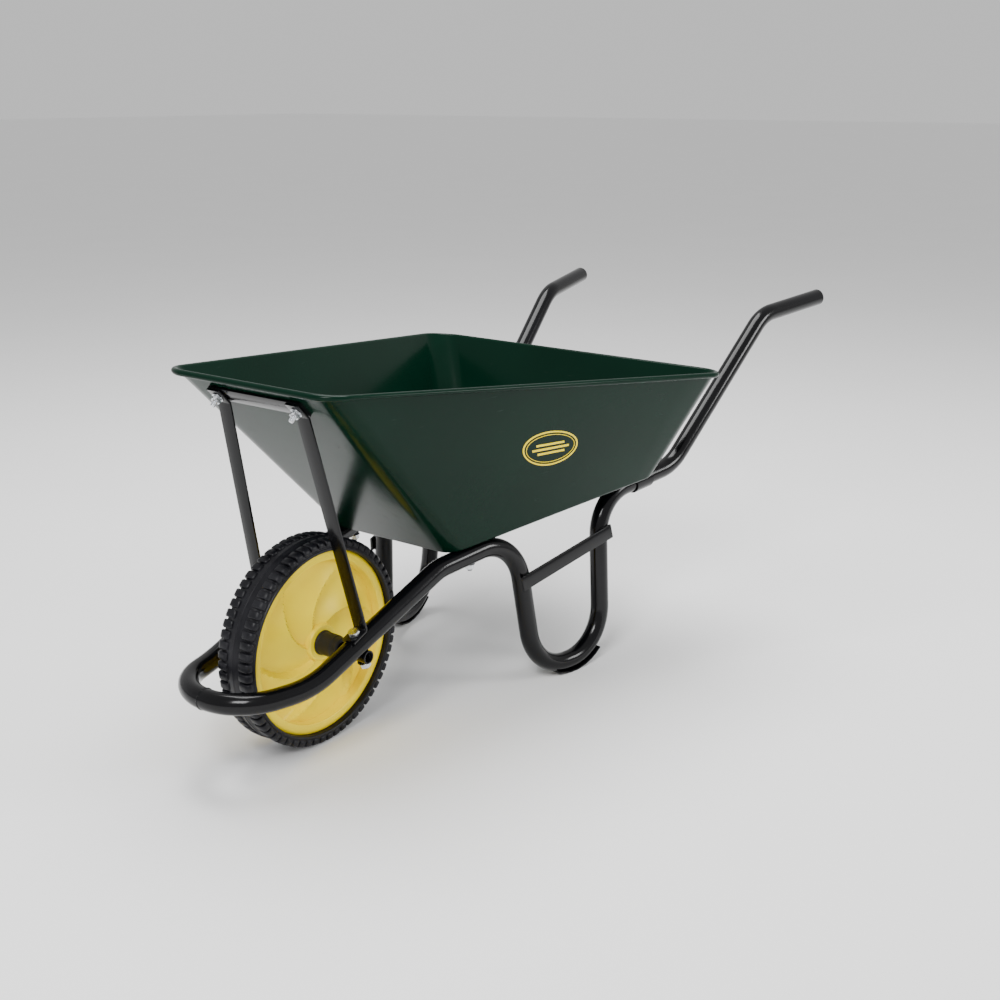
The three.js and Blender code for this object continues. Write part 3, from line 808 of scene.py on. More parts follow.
def swept(
    name: str, points: Sequence[Vector], section: Callable[[int, Vector, Vector], list[Vector]],
    level: Vector, capped: bool = True, closed: bool = False,
) -> bpy.types.Mesh:
    """A section carried along points.

    Args:
        name: The mesh's name.
        points: The way, in metres.
        section: Gives the ring's offsets from the point's number and two directions.
        level: A direction that the first of those stays close to.
        capped: The ends get a face.
        closed: The last ring joins the first.

    Returns:
        The mesh.
    """

    def build(work: bmesh.types.BMesh) -> None:
        """Fills the mesh."""
        rings = []
        last = len(points) - 1
        for i, point in enumerate(points):
            before = points[i - 1] if i or closed else point
            after = points[(i + 1) % len(points)] if i < last or closed else point
            way = (after - before).normalized()
            across = (level - way * level.dot(way)).normalized()
            normal = across.cross(way)
            rings.append([point + offset for offset in section(i, across, normal)])
        rings_to_faces(work, rings, closed, capped)

    return mesh_from(name, build)


def flat_section(width: float, thickness: float, round_off: float) -> Callable[..., list[Vector]]:
    """A bar's rounded rectangular section, with one face on the way and the rest above it."""
    corners = [(1, 1), (-1, 1), (-1, -1), (1, -1)]

    def offsets(_: int, across: Vector, normal: Vector) -> list[Vector]:
        """The ring's offsets."""
        ring = []
        for quarter, (u, v) in enumerate(corners):
            for step in range(3):
                angle = math.radians(90 * quarter + 45 * step)
                a = u * (width / 2 - round_off) + round_off * math.cos(angle)
                b = thickness / 2 + v * (thickness / 2 - round_off) + round_off * math.sin(angle)
                ring.append(across * a + normal * b)
        return ring

    return offsets


def round_bends(points: Sequence[Vector], radius: float, steps: int = 6) -> list[Vector]:
    """Points through corners that are all bent to one radius."""
    made = [points[0]]
    for last, corner, following in zip(points, points[1:], points[2:]):
        back = (last - corner).normalized()
        ahead = (following - corner).normalized()
        made += arc(corner, back, ahead, radius, steps)
    return [*made, points[-1]]


def weld(name: str, points: Sequence[Vector], size: float, closed: bool = False) -> bpy.types.Mesh:
    """A rippled bead of weld along points.

    Args:
        name: The mesh's name.
        points: The bead's middle, in metres.
        size: Its radius.
        closed: It runs all the way round.

    Returns:
        The mesh.
    """
    dense = []
    count = len(points) if closed else len(points) - 1
    for i in range(count):
        start, end = points[i], points[(i + 1) % len(points)]
        parts = max(1, round((end - start).length / (size * 0.35)))
        dense += [start.lerp(end, k / parts) for k in range(parts)]
    if not closed:
        dense.append(points[-1])

    def section(i: int, across: Vector, normal: Vector) -> list[Vector]:
        """The ring's offsets."""
        wide = size * (0.86 + 0.2 * abs(math.sin(i * 0.55)))
        return [
            (across * math.cos(a) + normal * math.sin(a)) * wide
            for a in (2 * math.pi * k / 8 for k in range(8))
        ]

    return swept(name, dense, section, Vector((0.3, 0.2, 0.93)), not closed, closed)


def ring_points(centre: Vector, axis: Vector, radius: float, count: int = 40) -> list[Vector]:
    """Points of a circle round an axis."""
    place = standing(centre, axis)
    return [
        place @ Vector((radius * math.cos(a), radius * math.sin(a), 0))
        for a in (2 * math.pi * i / count for i in range(count))
    ]


# ---------------------------------------------------------------- tubes of the frame


@dataclass
class TubeFrame:
    """The two side tubes, the handles in their sockets, and the cross member."""

    nose_reach: float = 217.0
    nose_corner: float = 66.0
    nose_bend: float = 84.0
    climb_bend: float = 170.0
    seat_bend: float = 100.0
    leg_bend: float = 80.0
    joint_x: float = 641.0
    socket_half: float = 21.0
    socket_wall: float = 3.0
    riser_x: float = 730.0
    riser_slope: float = 0.873
    riser_bend: float = 100.0
    grip_bend_x: float = 1010.0
    grip_bend: float = 90.0
    grip_slope: float = 0.087
    grip_end_x: float = 1189.0
    cross_x: float = 604.0
    sides: int = 40
    plug_lip: float = 3.0
    nose_weld: float = 1.3
    cross_weld: float = 2.2

    def frame_corners(self) -> list[Corner]:
        """Corners of the right half of the frame, nose first.

        Returns:
            The corners in millimetres.
        """
        plan = PLAN
        foot = plan.foot_height
        return [
            Corner(Vector((-self.nose_reach, plan.gap / 2, plan.nose_height))),
            Corner(Vector((-self.nose_reach, self.nose_corner, plan.nose_height)), self.nose_bend),
            Corner(
                Vector((plan.climb_low_x, plan.climb_low_width, plan.nose_height)), self.climb_bend
            ),
            Corner(
                Vector(
                    (plan.climb_high_x, plan.climb_high_width, plan.seat_height(plan.climb_high_x))
                ),
                self.seat_bend,
            ),
            Corner(plan.on_leg(plan.front_leg, plan.leg_top(plan.front_leg)), self.leg_bend),
            Corner(plan.on_leg(plan.front_leg, foot), plan.foot_bend),
            Corner(plan.on_leg(plan.rear_leg, foot), plan.foot_bend),
            Corner(plan.on_leg(plan.rear_leg, plan.leg_top(plan.rear_leg)), self.leg_bend),
            Corner(plan.under_tray(self.joint_x - plan.gap / 2)),
        ]

    def handle_corners(self) -> list[Corner]:
        """Corners of the right handle, front end first.

        Returns:
            The corners in millimetres.
        """
        plan = PLAN
        rise = plan.seat_height(self.riser_x)
        rise += self.riser_slope * (self.grip_bend_x - self.riser_x)
        end = rise + self.grip_slope * (self.grip_end_x - self.grip_bend_x)
        return [
            Corner(plan.under_tray(self.joint_x + plan.gap / 2)),
            Corner(plan.under_tray(self.riser_x), self.riser_bend),
            Corner(plan.leg_point(self.grip_bend_x, rise), self.grip_bend),
            Corner(plan.leg_point(self.grip_end_x, end)),
        ]

    def build(self) -> None:
        """Makes and dresses every tube."""
        tree = path_tube_tree()
        for side in Side:
            for name, corners in (
                ("frame_tube_", self.frame_corners()),
                ("handle_tube_", self.handle_corners()),
            ):
                points = [PLAN.place(point, side) for point in bent_line(corners)]
                mesh = tree.run(
                    name + side.label,
                    line_mesh(name, points),
                    Radius=PLAN.tube_radius * MM,
                    Sides=self.sides,
                )
                add_piece(
                    "round_" + name + side.label, mesh, Slot.BLACK, Body.FRAME, [name + side.label]
                )
            self.add_plug(side)
            self.add_socket(side)
        self.add_nose_weld()
        self.add_cross_tube(tree)

    def add_nose_weld(self) -> None:
        """Makes the bead that joins the two halves at the nose."""
        centre = PLAN.place(Vector((-self.nose_reach, 0, PLAN.nose_height)))
        ring = ring_points(centre, Vector((0, 1, 0)), (PLAN.tube_radius - 0.3) * MM)
        add_piece("nose_weld", weld("nose_weld", ring, self.nose_weld * MM, True), Slot.BLACK, Body.FRAME)

    def add_plug(self, side: Side) -> None:
        """Makes the domed plug in the end of a grip.

        Args:
            side: Which handle.
        """
        corners = self.handle_corners()
        way = PLAN.turn((corners[3].at - corners[2].at).normalized(), side)
        place = standing(PLAN.place(corners[3].at, side), way)
        radius = PLAN.tube_radius * MM
        gap = PLAN.gap * MM
        lip = self.plug_lip * MM
        dome = [
            (radius - lip * 0.6 * (1 - math.cos(a)), gap + lip * (0.4 + 0.6 * math.sin(a)))
            for a in (math.radians(15 * k) for k in range(7))
        ]
        profile = [(0.0, gap), (radius, gap), *dome, (radius * 0.55, gap + lip), (0.0, gap + lip * 0.9)]
        mesh = turned("plug_" + side.label, profile, place, 40)
        add_piece(
            "grip_plug_" + side.label, mesh, Slot.PLASTIC, Body.FRAME, ["handle_plug_" + side.label]
        )

    def add_socket(self, side: Side) -> None:
        """Makes the sleeve round a joint, open where the tray lies on the tubes.

        Args:
            side: Which handle.
        """
        low = (PLAN.tube_radius + 0.05) * MM
        high = (PLAN.tube_radius + self.socket_wall) * MM
        opening = math.acos((PLAN.tube_radius + 0.1) / (PLAN.tube_radius + self.socket_wall))
        ends = [PLAN.under_tray(self.joint_x + k * self.socket_half) for k in (-1, 1)]
        points = [PLAN.place(point, side) for point in ends]
        up = PLAN.floor_up
        edge = 0.8 * MM

        def section(i: int, across: Vector, normal: Vector) -> list[Vector]:
            """The ring's offsets."""
            outer = high - (edge if i in (0, 3) else 0)
            angles = [
                opening + (2 * math.pi - 2 * opening) * k / 36 for k in range(37)
            ]
            ring = [(across * math.cos(a) + normal * math.sin(a)) * outer for a in angles]
            ring += [(across * math.cos(a) + normal * math.sin(a)) * low for a in reversed(angles)]
            return ring

        start, end = points
        bevel = (end - start).normalized() * edge
        mesh = swept("socket_" + side.label, [start, start + bevel, end - bevel, end], section, up)
        add_piece(
            "handle_sleeve_" + side.label,
            mesh,
            Slot.BLACK,
            Body.FRAME,
            ["handle_socket_" + side.label],
        )

    def add_cross_tube(self, tree: NodeTree) -> None:
        """Makes the cross member and the welds at its ends.

        Args:
            tree: The tree that makes a round bar.
        """
        reach = PLAN.under_tray(self.cross_x).y - PLAN.tube_radius / 2
        height = PLAN.seat_height(self.cross_x)
        ends = [PLAN.place(Vector((self.cross_x, y, height))) for y in (-reach, reach)]
        mesh = tree.run(
            "cross_tube",
            line_mesh("cross", ends),
            Radius=(PLAN.tube_radius - 0.1) * MM,
            Sides=self.sides,
        )
        add_piece("round_cross_tube", mesh, Slot.BLACK, Body.FRAME, ["rear_cross_tube"])
        for side in Side:
            inner = Vector((self.cross_x, reach - PLAN.tube_radius * 0.75, height))
            ring = ring_points(PLAN.place(inner, side), Vector((0, 1, 0)), PLAN.tube_radius * MM)
            name = "cross_weld_" + side.label
            add_piece(name, weld(name, ring, self.cross_weld * MM, True), Slot.BLACK, Body.FRAME)


# ---------------------------------------------------------------- flat bars


@dataclass
class FlatBars:
    """Leg braces, wear plates, front stays and the strip behind the stays."""

    thickness: float = 4.0
    brace_width: float = 25.0
    brace_heights: tuple[float, float] = (192.0, 230.0)
    brace_overhang: float = 14.0
    stay_width: float = 25.0
    stay_foot: tuple[float, float] = (15.0, 17.0)
    stay_reach: float = 15.0
    stay_bend: float = 6.0
    strip_width: float = 30.0
    wear_thickness: float = 3.0
    wear_width: float = 26.0
    wear_flat: float = 18.0
    wear_angles: tuple[float, ...] = (-20.0, 17.0, 25.0, 33.0, 41.0)
    round_off: float = 0.7
    brace_weld: float = 1.8
    weld_steps: tuple[float, ...] = (-7, -3.5, 0, 3.5, 7)

    def section(self, width: float, thickness: float) -> Callable[..., list[Vector]]:
        """The section of one bar, from sizes in millimetres."""
        return flat_section(width * MM, thickness * MM, self.round_off * MM)

    def build(self) -> None:
        """Makes and dresses every bar."""
        for side in Side:
            self.add_brace(side)
            self.add_wear_plate(side)
            self.add_stay(side)
        self.add_strip()

    def add_brace(self, side: Side) -> None:
        """Makes a leg brace and its four welds.

        Args:
            side: Which leg loop.
        """
        out = Vector((-PLAN.leg_per_x, 1, -PLAN.leg_per_z)).normalized()
        lift = out * (PLAN.tube_radius + PLAN.gap)
        front = PLAN.on_leg(PLAN.front_leg, self.brace_heights[0]) + lift
        rear = PLAN.on_leg(PLAN.rear_leg, self.brace_heights[1]) + lift
        way = (rear - front).normalized()
        ends = [front - way * self.brace_overhang, rear + way * self.brace_overhang]
        across = way.cross(out).normalized()
        points = [PLAN.place(point, side) for point in ends]
        outwards = PLAN.turn(out, side)
        level = PLAN.turn(across, side)
        if level.cross(points[1] - points[0]).dot(outwards) < 0:
            level = -level
        mesh = swept(
            "brace_" + side.label, points, self.section(self.brace_width, self.thickness), level
        )
        add_piece(
            "flat_brace_" + side.label, mesh, Slot.BLACK, Body.FRAME, ["leg_brace_" + side.label]
        )
        for end, label in ((front, "front"), (rear, "rear")):
            for edge in (-1, 1):
                middle = end - out * 1.5 + across * (edge * self.brace_width / 2)
                line = [PLAN.place(middle + way * step, side) for step in self.weld_steps]
                name = f"brace_weld_{label}_{'low' if edge < 0 else 'high'}_{side.label}"
                add_piece(name, weld(name, line, self.brace_weld * MM), Slot.BLACK, Body.FRAME)

    def add_wear_plate(self, side: Side) -> None:
        """Makes the curved plate under a foot.

        Args:
            side: Which foot.
        """
        foot = PLAN.foot_height
        middle = (
            PLAN.on_leg(PLAN.front_leg, foot).x + PLAN.on_leg(PLAN.rear_leg, foot).x
        ) / 2
        radius = PLAN.foot_bend + PLAN.tube_radius + PLAN.gap

        def around(degrees: float) -> Vector:
            """A point of the plate's upper face."""
            angle = math.radians(degrees)
            return PLAN.leg_point(
                middle + radius * math.sin(angle),
                self.wear_thickness + radius * (1 - math.cos(angle)),
            )

        flat = [
            PLAN.leg_point(middle + k * self.wear_flat / 2, self.wear_thickness) for k in (-1, 1)
        ]
        first, *rest = [around(angle) for angle in self.wear_angles]
        points = [PLAN.place(point, side) for point in (first, *flat, *rest)]
        mesh = swept(
            "wear_" + side.label,
            points,
            self.section(self.wear_width, self.wear_thickness),
            Vector((0, 1, 0)),
        )
        add_piece(
            "foot_plate_" + side.label, mesh, Slot.BLACK, Body.FRAME, ["wear_plate_" + side.label]
        )

    def add_stay(self, side: Side) -> None:
        """Makes a front stay.

        Args:
            side: Which stay.
        """
        tray = Tray()
        seat = PLAN.axle_seat() + PLAN.climb_up * (
            PLAN.axle_to_tube + PLAN.tube_radius + PLAN.gap
        )
        top = tray.stay_seat() + tray.wall_out * (self.thickness + 2 * PLAN.gap)
        corners = [
            seat - PLAN.climb_along * self.stay_foot[0],
            seat + PLAN.climb_along * self.stay_foot[1],
            top + tray.wall_down * self.stay_reach,
            top - tray.wall_down * self.stay_reach,
        ]
        points = [PLAN.place(point, side) for point in corners]
        rounded = round_bends(points, self.stay_bend * MM)
        mesh = swept(
            "stay_" + side.label,
            rounded,
            self.section(self.stay_width, self.thickness),
            Vector((0, -1, 0)),
        )
        add_piece(
            "flat_stay_" + side.label, mesh, Slot.BLACK, Body.FRAME, ["front_stay_" + side.label]
        )

    def add_strip(self) -> None:
        """Makes the strip across the tray behind both stays."""
        tray = Tray()
        face = tray.stay_seat() + tray.wall_out * PLAN.gap
        reach = face.y + self.stay_width / 2
        points = [PLAN.place(Vector((face.x, y, face.z))) for y in (-reach, reach)]
        mesh = swept(
            "strip", points, self.section(self.strip_width, self.thickness), -tray.wall_down
        )
        add_piece("flat_strip", mesh, Slot.BLACK, Body.FRAME, ["stay_strip"])


# ---------------------------------------------------------------- tray


@dataclass
class RimCorner:
    """A pair of virtual corners of the tray's outline."""

    x: float
    half_width: float
    radius: float


@dataclass
class Tray:
    """The pressed tray with its rolled rim."""

    sheet: float = 2.0
    bead: float = 5.0
    rim_front: RimCorner = field(default_factory=lambda: RimCorner(-114, 163, 45))
    rim_rear: RimCorner = field(default_factory=lambda: RimCorner(726, 334, 45))
    rim_heights: tuple[float, float] = (592.0, 505.0)
    floor_front: RimCorner = field(default_factory=lambda: RimCorner(190, 128, 38))
    floor_rear: RimCorner = field(default_factory=lambda: RimCorner(662, 251, 50))
    fillet: float = 10.0
    stay_down: float = 45.0
    stay_half_width: float = 79.0
    corner_steps: int = 14
    side_steps: int = 12
    label_at: tuple[float, float] = (0.52, 0.53)
    film: tuple[float, float] = (0.1, 0.35)
    ovals: dict[str, Sequence[float]] = field(
        default_factory=lambda: {"outer_oval": (60.0, 36.0, 3.4), "inner_oval": (53.0, 29.0, 1.2)}
    )
    stripes: dict[str, Sequence[float]] = field(
        default_factory=lambda: {
            "upper_stripe": (9.0, 30.0, 2.2),
            "middle_stripe": (0.0, 40.0, 2.2),
            "lower_stripe": (-9.0, 30.0, 2.2),
        }
    )

    def __post_init__(self) -> None:
        """Finds the plane of the front wall."""
        offset = self.bead - self.sheet
        x = self.rim_front.x + offset
        self.wall_top = Vector((x, 0, self.rim_height(x)))
        foot = Vector((self.floor_front.x, 0, PLAN.floor(self.floor_front.x)))
        self.wall_down = (foot - self.wall_top).normalized()
        self.wall_out = Vector((self.wall_down.z, 0, -self.wall_down.x))

    @property
    def rim_slope(self) -> float:
        """Slope of the rim from front to rear."""
        return (self.rim_heights[1] - self.rim_heights[0]) / (self.rim_rear.x - self.rim_front.x)

    def rim_height(self, x: float) -> float:
        """Height of the rim."""
        return self.rim_heights[0] + self.rim_slope * (x - self.rim_front.x)

    def stay_seat(self) -> Vector:
        """Where the right-hand stay's bolt meets the front wall."""
        seat = self.wall_top + self.wall_down * self.stay_down
        return Vector((seat.x, self.stay_half_width, seat.z))

    def outline(
        self, front: RimCorner, rear: RimCorner, height: Callable[[float], float], slope: float
    ) -> list[tuple[Vector, Vector]]:
        """Places round the tray, with the way inwards at each.

        Args:
            front: The front corners.
            rear: The rear corners.
            height: Height at an x.
            slope: Slope of the plane.

        Returns:
            Pairs of point and inward direction, in millimetres.
        """
        corners = [
            (Vector((c.x, s * c.half_width, 0)), c.radius)
            for c, s in ((front, 1), (rear, 1), (rear, -1), (front, -1))
        ]
        places = []
        for i, (at, radius) in enumerate(corners):
            back = (corners[i - 1][0] - at).normalized()
            ahead = (corners[(i + 1) % 4][0] - at).normalized()
            half = back.angle(ahead) / 2
            centre = at + (back + ahead).normalized() * (radius / math.sin(half))
            for point in arc(at, back, ahead, radius, self.corner_steps):
                way = centre - point
                places.append((Vector((point.x, point.y, 0)), way.normalized()))
            following = corners[(i + 1) % 4]
            back_next = -ahead
            beyond = (corners[(i + 2) % 4][0] - following[0]).normalized()
            half_next = back_next.angle(beyond) / 2
            end = following[0] + back_next * (following[1] / math.tan(half_next))
            start, way = places[-1]
            for k in range(1, self.side_steps):
                places.append((start.lerp(end, k / self.side_steps), way))
        return [
            (Vector((p.x, p.y, height(p.x))), Vector((w.x, w.y, slope * w.x)).normalized())
            for p, w in places
        ]

    def section(
        self, foot: tuple[Vector, Vector], rim: tuple[Vector, Vector]
    ) -> list[Vector]:
        """Section of the skin at one place, outside first.

        Args:
            foot: Place at the floor.
            rim: Place at the rim.

        Returns:
            Its points in millimetres.
        """
        offset = self.bead - self.sheet
        top = rim[0] + rim[1] * offset
        up = (top - foot[0]).normalized()
        inwards = foot[1]
        diagonal = (up + inwards) * (self.sheet / math.sin(up.angle(inwards)))
        out = (up * up.dot(inwards) - inwards).normalized()
        skin = arc(foot[0], inwards, up, self.fillet, 6)
        lining = arc(foot[0] + diagonal, inwards, up, self.fillet - self.sheet, 6)
        centre = top + out * offset - up * self.bead
        first = math.acos(offset / self.bead) - math.pi
        steps = 18
        rolled = []
        for k in range(steps + 1):
            angle = first + (math.pi - first) * k / steps
            rolled.append(centre + (out * math.cos(angle) + up * math.sin(angle)) * self.bead)
        return [*skin, *rolled, *reversed(lining)]

    def build(self) -> None:
        """Makes and dresses the tray."""
        rim = self.outline(self.rim_front, self.rim_rear, self.rim_height, self.rim_slope)
        foot = self.outline(self.floor_front, self.floor_rear, PLAN.floor, PLAN.floor_slope)
        rings = [
            [PLAN.place(point) for point in self.section(f, r)] for f, r in zip(foot, rim)
        ]

        def skin(work: bmesh.types.BMesh) -> None:
            """Fills the mesh."""
            made = [[work.verts.new(point) for point in ring] for ring in rings]
            for here, there in zip(made, made[1:] + made[:1]):
                for j in range(len(here) - 1):
                    work.faces.new((here[j], here[j + 1], there[j + 1], there[j]))
            work.faces.new([ring[0] for ring in made])
            work.faces.new([ring[-1] for ring in reversed(made)])

        add_piece("pressed_tray", mesh_from("tray", skin), Slot.GREEN, Body.FRAME, ["tray"], 50.0)
        self.add_label(foot, rim)

    def add_label(
        self, foot: Sequence[tuple[Vector, Vector]], rim: Sequence[tuple[Vector, Vector]]
    ) -> None:
        """Makes a plain oval label on the left wall.

        Args:
            foot: Places round the floor.
            rim: Places round the rim.
        """
        first = 2 * (self.corner_steps + self.side_steps) + self.corner_steps
        last = first + self.side_steps
        offset = self.bead - self.sheet
        low = (foot[first][0], foot[last][0])
        high = tuple(rim[i][0] + rim[i][1] * offset for i in (first, last))
        middle = low[0].lerp(low[1], self.label_at[0])
        up = (high[0].lerp(high[1], self.label_at[0]) - middle).length
        along = (
            low[0].lerp(high[0], self.label_at[1]) - low[1].lerp(high[1], self.label_at[1])
        ).length
        out = (high[1] - low[1]).cross(low[1] - low[0]).normalized()
        if out.y > 0:
            out = -out

        def on_wall(a: float, b: float, lift: float) -> Vector:
            """A point over the wall, from distances off the label's middle."""
            u = self.label_at[0] + a / along
            v = self.label_at[1] + b / up
            return PLAN.place(
                low[0].lerp(low[1], u).lerp(high[0].lerp(high[1], u), v) + out * lift
            )

        def loop(half_long: float, half_high: float, inner: float) -> Callable[..., None]:
            """An oval ring of the label."""

            def fill(work: bmesh.types.BMesh) -> None:
                """Fills the mesh."""
                rings = []
                for k in range(96):
                    c, d = math.cos(2 * math.pi * k / 96), math.sin(2 * math.pi * k / 96)
                    outer = (half_long * c, half_high * d)
                    inside = ((half_long - inner) * c, (half_high - inner) * d)
                    rings.append(
                        [
                            on_wall(*outer, self.film[0]),
                            on_wall(*outer, self.film[1]),
                            on_wall(*inside, self.film[1]),
                            on_wall(*inside, self.film[0]),
                        ]
                    )
                rings_to_faces(work, rings, True, False)

            return fill

        def stripe(at: float, half_long: float, half_high: float) -> Callable[..., None]:
            """A straight stripe of the label."""

            def fill(work: bmesh.types.BMesh) -> None:
                """Fills the mesh."""
                rings = []
                for k in range(9):
                    a = half_long * (k / 4 - 1)
                    rings.append(
                        [
                            on_wall(a, at + half_high, self.film[0]),
                            on_wall(a, at + half_high, self.film[1]),
                            on_wall(a, at - half_high, self.film[1]),
                            on_wall(a, at - half_high, self.film[0]),
                        ]
                    )
                rings_to_faces(work, rings, False, True)

            return fill

        shapes = {name: loop(*sizes) for name, sizes in self.ovals.items()}
        shapes |= {name: stripe(*sizes) for name, sizes in self.stripes.items()}
        for name, fill in shapes.items():
            add_piece("label_" + name, mesh_from(name, fill), Slot.YELLOW, Body.FRAME)


# ---------------------------------------------------------------- wheel


@dataclass
class Wheel:
    """Tyre, moulded disc, bushes and the axle that they turn on."""

    radius: float = 165.0
    tyre_width: float = 66.0
    tread_base: float = 158.5
    rim_radius: float = 146.0
    rim_width: float = 50.0
    flange: float = 6.0
    channel: float = 9.0
    rim_wall: float = 7.0
    lug_count: int = 64
    lug_length: float = 12.4
    hub_radius: float = 29.0
    hub_width: float = 50.0
    blade_count: int = 6
    blade_swirl: float = 1.15
    blade_height: float = 18.0
    bush_radius: float = 19.5
    bush_depth: float = 18.0
    bush_end: float = 65.0
    axle_radius: float = 10.5
    axle_wall: float = 2.5
    axle_overhang: float = 14.0
    gap: float = 0.3

    @property
    def barrel(self) -> float:
        """Radius of the inside of the rim."""
        return self.rim_radius - self.channel - self.rim_wall

    @property
    def to_centre(self) -> Matrix:
        """Moves a mesh made round the origin to the wheel's centre."""
        return Matrix.Translation(PLAN.place(Vector((0, 0, self.radius))))

    def lathe(self, name: str, profile: Sequence[tuple[float, float]], sides: int) -> Any:
        """Turns an outline of (radius, y) in millimetres round the axle."""
        place = self.to_centre @ Matrix.Rotation(math.radians(-90), 4, "X")
        return turned(name, [(r * MM, y * MM) for r, y in profile], place, sides)

    def build(self) -> None:
        """Makes and dresses the wheel."""
        self.add_tyre()
        self.add_disc()
        for side in Side:
            self.add_bush(side)
        self.add_axle()

    def add_tyre(self) -> None:
        """Makes the carcass with its mould line, and the lugs along both shoulders."""
        seat = self.rim_width / 2 - self.flange - self.gap
        wide = self.tyre_width / 2
        base = self.rim_radius + self.gap
        half = [
            (self.rim_radius - self.channel + self.gap, seat),
            (base, seat),
            (base, wide - 3.4),
            (base + 0.5, wide - 1.6),
            (base + 1.8, wide - 0.4),
            (base + 3.2, wide - 0.1),
            (base + 5.0, wide - 0.7),
            (base + 5.6, wide - 1.7),
            (base + 6.4, wide - 1.9),
            (self.tread_base - 3.2, wide - 2.4),
            (self.tread_base - 1.2, wide - 3.6),
            (self.tread_base, wide - 6.0),
            (self.tread_base + 0.3, wide - 12.0),
            (self.tread_base + 1.6, wide - 14.0),
            (self.tread_base + 3.4, 12.0),
            (self.tread_base + 4.4, 6.0),
            (self.tread_base + 4.8, 1.6),
            (self.tread_base + 5.4, 0.9),
        ]
        profile = half + [(r, -y) for r, y in reversed(half)]
        mesh = self.lathe("carcass", profile, 160)
        add_piece("tyre_carcass", mesh, Slot.RUBBER, Body.WHEEL, ["tyre"])
        tree = ring_tree("tread_ring", Slot.RUBBER)
        for side in Side:
            mesh = tree.run(
                "tread_" + side.label,
                self.lug(side),
                Count=self.lug_count,
                Start=0.0 if side is Side.LEFT else math.pi / self.lug_count,
            )
            mesh.transform(self.to_centre)
            add_piece("tyre_tread_" + side.label, mesh, Slot.RUBBER, Body.WHEEL)

    def lug(self, side: Side) -> bpy.types.Mesh:
        """One rounded block of the tread, at the top of the wheel round the origin.

        Args:
            side: The shoulder that it stands on.

        Returns:
            The mesh.
        """
        wide = self.tyre_width / 2
        rows = [
            (wide - 2.9, self.tread_base - 6.6),
            (wide - 1.2, self.tread_base - 5.2),
            (wide - 0.3, self.tread_base - 2.4),
            (wide - 0.6, self.tread_base + 1.2),
            (wide - 2.0, self.radius - 2.6),
            (wide - 4.6, self.radius - 0.8),
            (wide - 8.0, self.radius - 0.2),
            (wide - 14.0, self.radius - 0.3),
            (wide - 19.0, self.radius - 0.5),
            (wide - 20.8, self.radius - 1.6),
            (wide - 21.6, self.radius - 3.6),
        ]
        inner = (wide - 8.0, self.tread_base - 7.0)
        half = self.lug_length / 2
        spans = [(-half, 0.0), (-half + 0.7, 0.62), (-half + 2.0, 1.0), (0.0, 1.0)]
        spans += [(-x, rise) for x, rise in reversed(spans[:-1])]

        def block(work: bmesh.types.BMesh) -> None:
            """Fills the mesh."""
            rings = []
            for x, rise in spans:
                shrink = 1.7 * (1 - rise)
                ring = []
                for y, z in rows:
                    way = Vector((y - inner[0] + 4.0, z - inner[1] - 3.0)).normalized()
                    ring.append(
                        Vector((x, side.value * (y - way.x * shrink), z - way.y * shrink)) * MM
                    )
                ring.append(Vector((x, side.value * (wide - 16.0), self.tread_base - 1.0)) * MM)
                ring.append(Vector((x, side.value * inner[0], inner[1])) * MM)
                rings.append(ring)
            rings_to_faces(work, rings, False, True)

        return mesh_from("lug", block)

    def face_height(self, reach: float, angle: float, side: Side) -> float:
        """How far the disc's face stands from the wheel's middle plane.

        Args:
            reach: Distance from the axle.
            angle: Angle round it.
            side: Which face.

        Returns:
            The height in millimetres.
        """
        barrel = self.barrel
        share = (reach - self.hub_radius) / (barrel - self.hub_radius)
        share = min(1.0, max(0.0, share))
        swirl = angle * side.value + self.blade_swirl * share**0.8
        turn = (swirl * self.blade_count / (2 * math.pi)) % 1.0
        ridge = (1 - turn) ** 1.7 if turn > 0.06 else (turn / 0.06) * 0.9
        dish = math.sin(math.pi * share) ** 0.7
        hub = (1 - share) ** 3
        lip = share**6
        return 2.5 + self.blade_height * ridge * (0.35 + 0.65 * dish) + 12.0 * hub + 3.0 * lip

    def add_disc(self) -> None:
        """Makes the disc with its swirl of blades, hub and outer ring."""
        barrel = self.barrel
        edge = self.rim_width / 2
        hub = self.hub_width / 2
        spokes = 26
        sides = 240

        def ring_at(angle: float) -> list[tuple[float, float]]:
            """The closed outline of (radius, y) at an angle."""
            faces = {}
            for side in Side:
                row = [(self.bush_radius + self.gap, hub * side.value)]
                row.append((self.hub_radius - 1.6, hub * side.value))
                row.append((self.hub_radius, (hub - 1.6) * side.value))
                for k in range(spokes + 1):
                    reach = self.hub_radius + 0.6 + (barrel - self.hub_radius - 1.2) * k / spokes
                    row.append((reach, self.face_height(reach, angle, side) * side.value))
                row += [
                    (barrel, (edge - 5.0) * side.value),
                    (barrel + 0.8, (edge - 1.0) * side.value),
                    (barrel + 2.4, edge * side.value),
                    (self.rim_radius - 6.0, edge * side.value),
                    (self.rim_radius - 2.0, (edge - 0.6) * side.value),
                    (self.rim_radius, (edge - 2.2) * side.value),
                    (self.rim_radius, (edge - self.flange) * side.value),
                    (self.rim_radius - self.channel, (edge - self.flange) * side.value),
                ]
                faces[side] = row
            return faces[Side.RIGHT] + faces[Side.LEFT][::-1]

        place = self.to_centre @ Matrix.Rotation(math.radians(-90), 4, "X")

        def skin(work: bmesh.types.BMesh) -> None:
            """Fills the mesh."""
            rings = [
                [
                    place @ (Vector((r * math.cos(a), r * math.sin(a), y)) * MM)
                    for r, y in ring_at(a)
                ]
                for a in (2 * math.pi * i / sides for i in range(sides))
            ]
            rings_to_faces(work, rings, True, False)

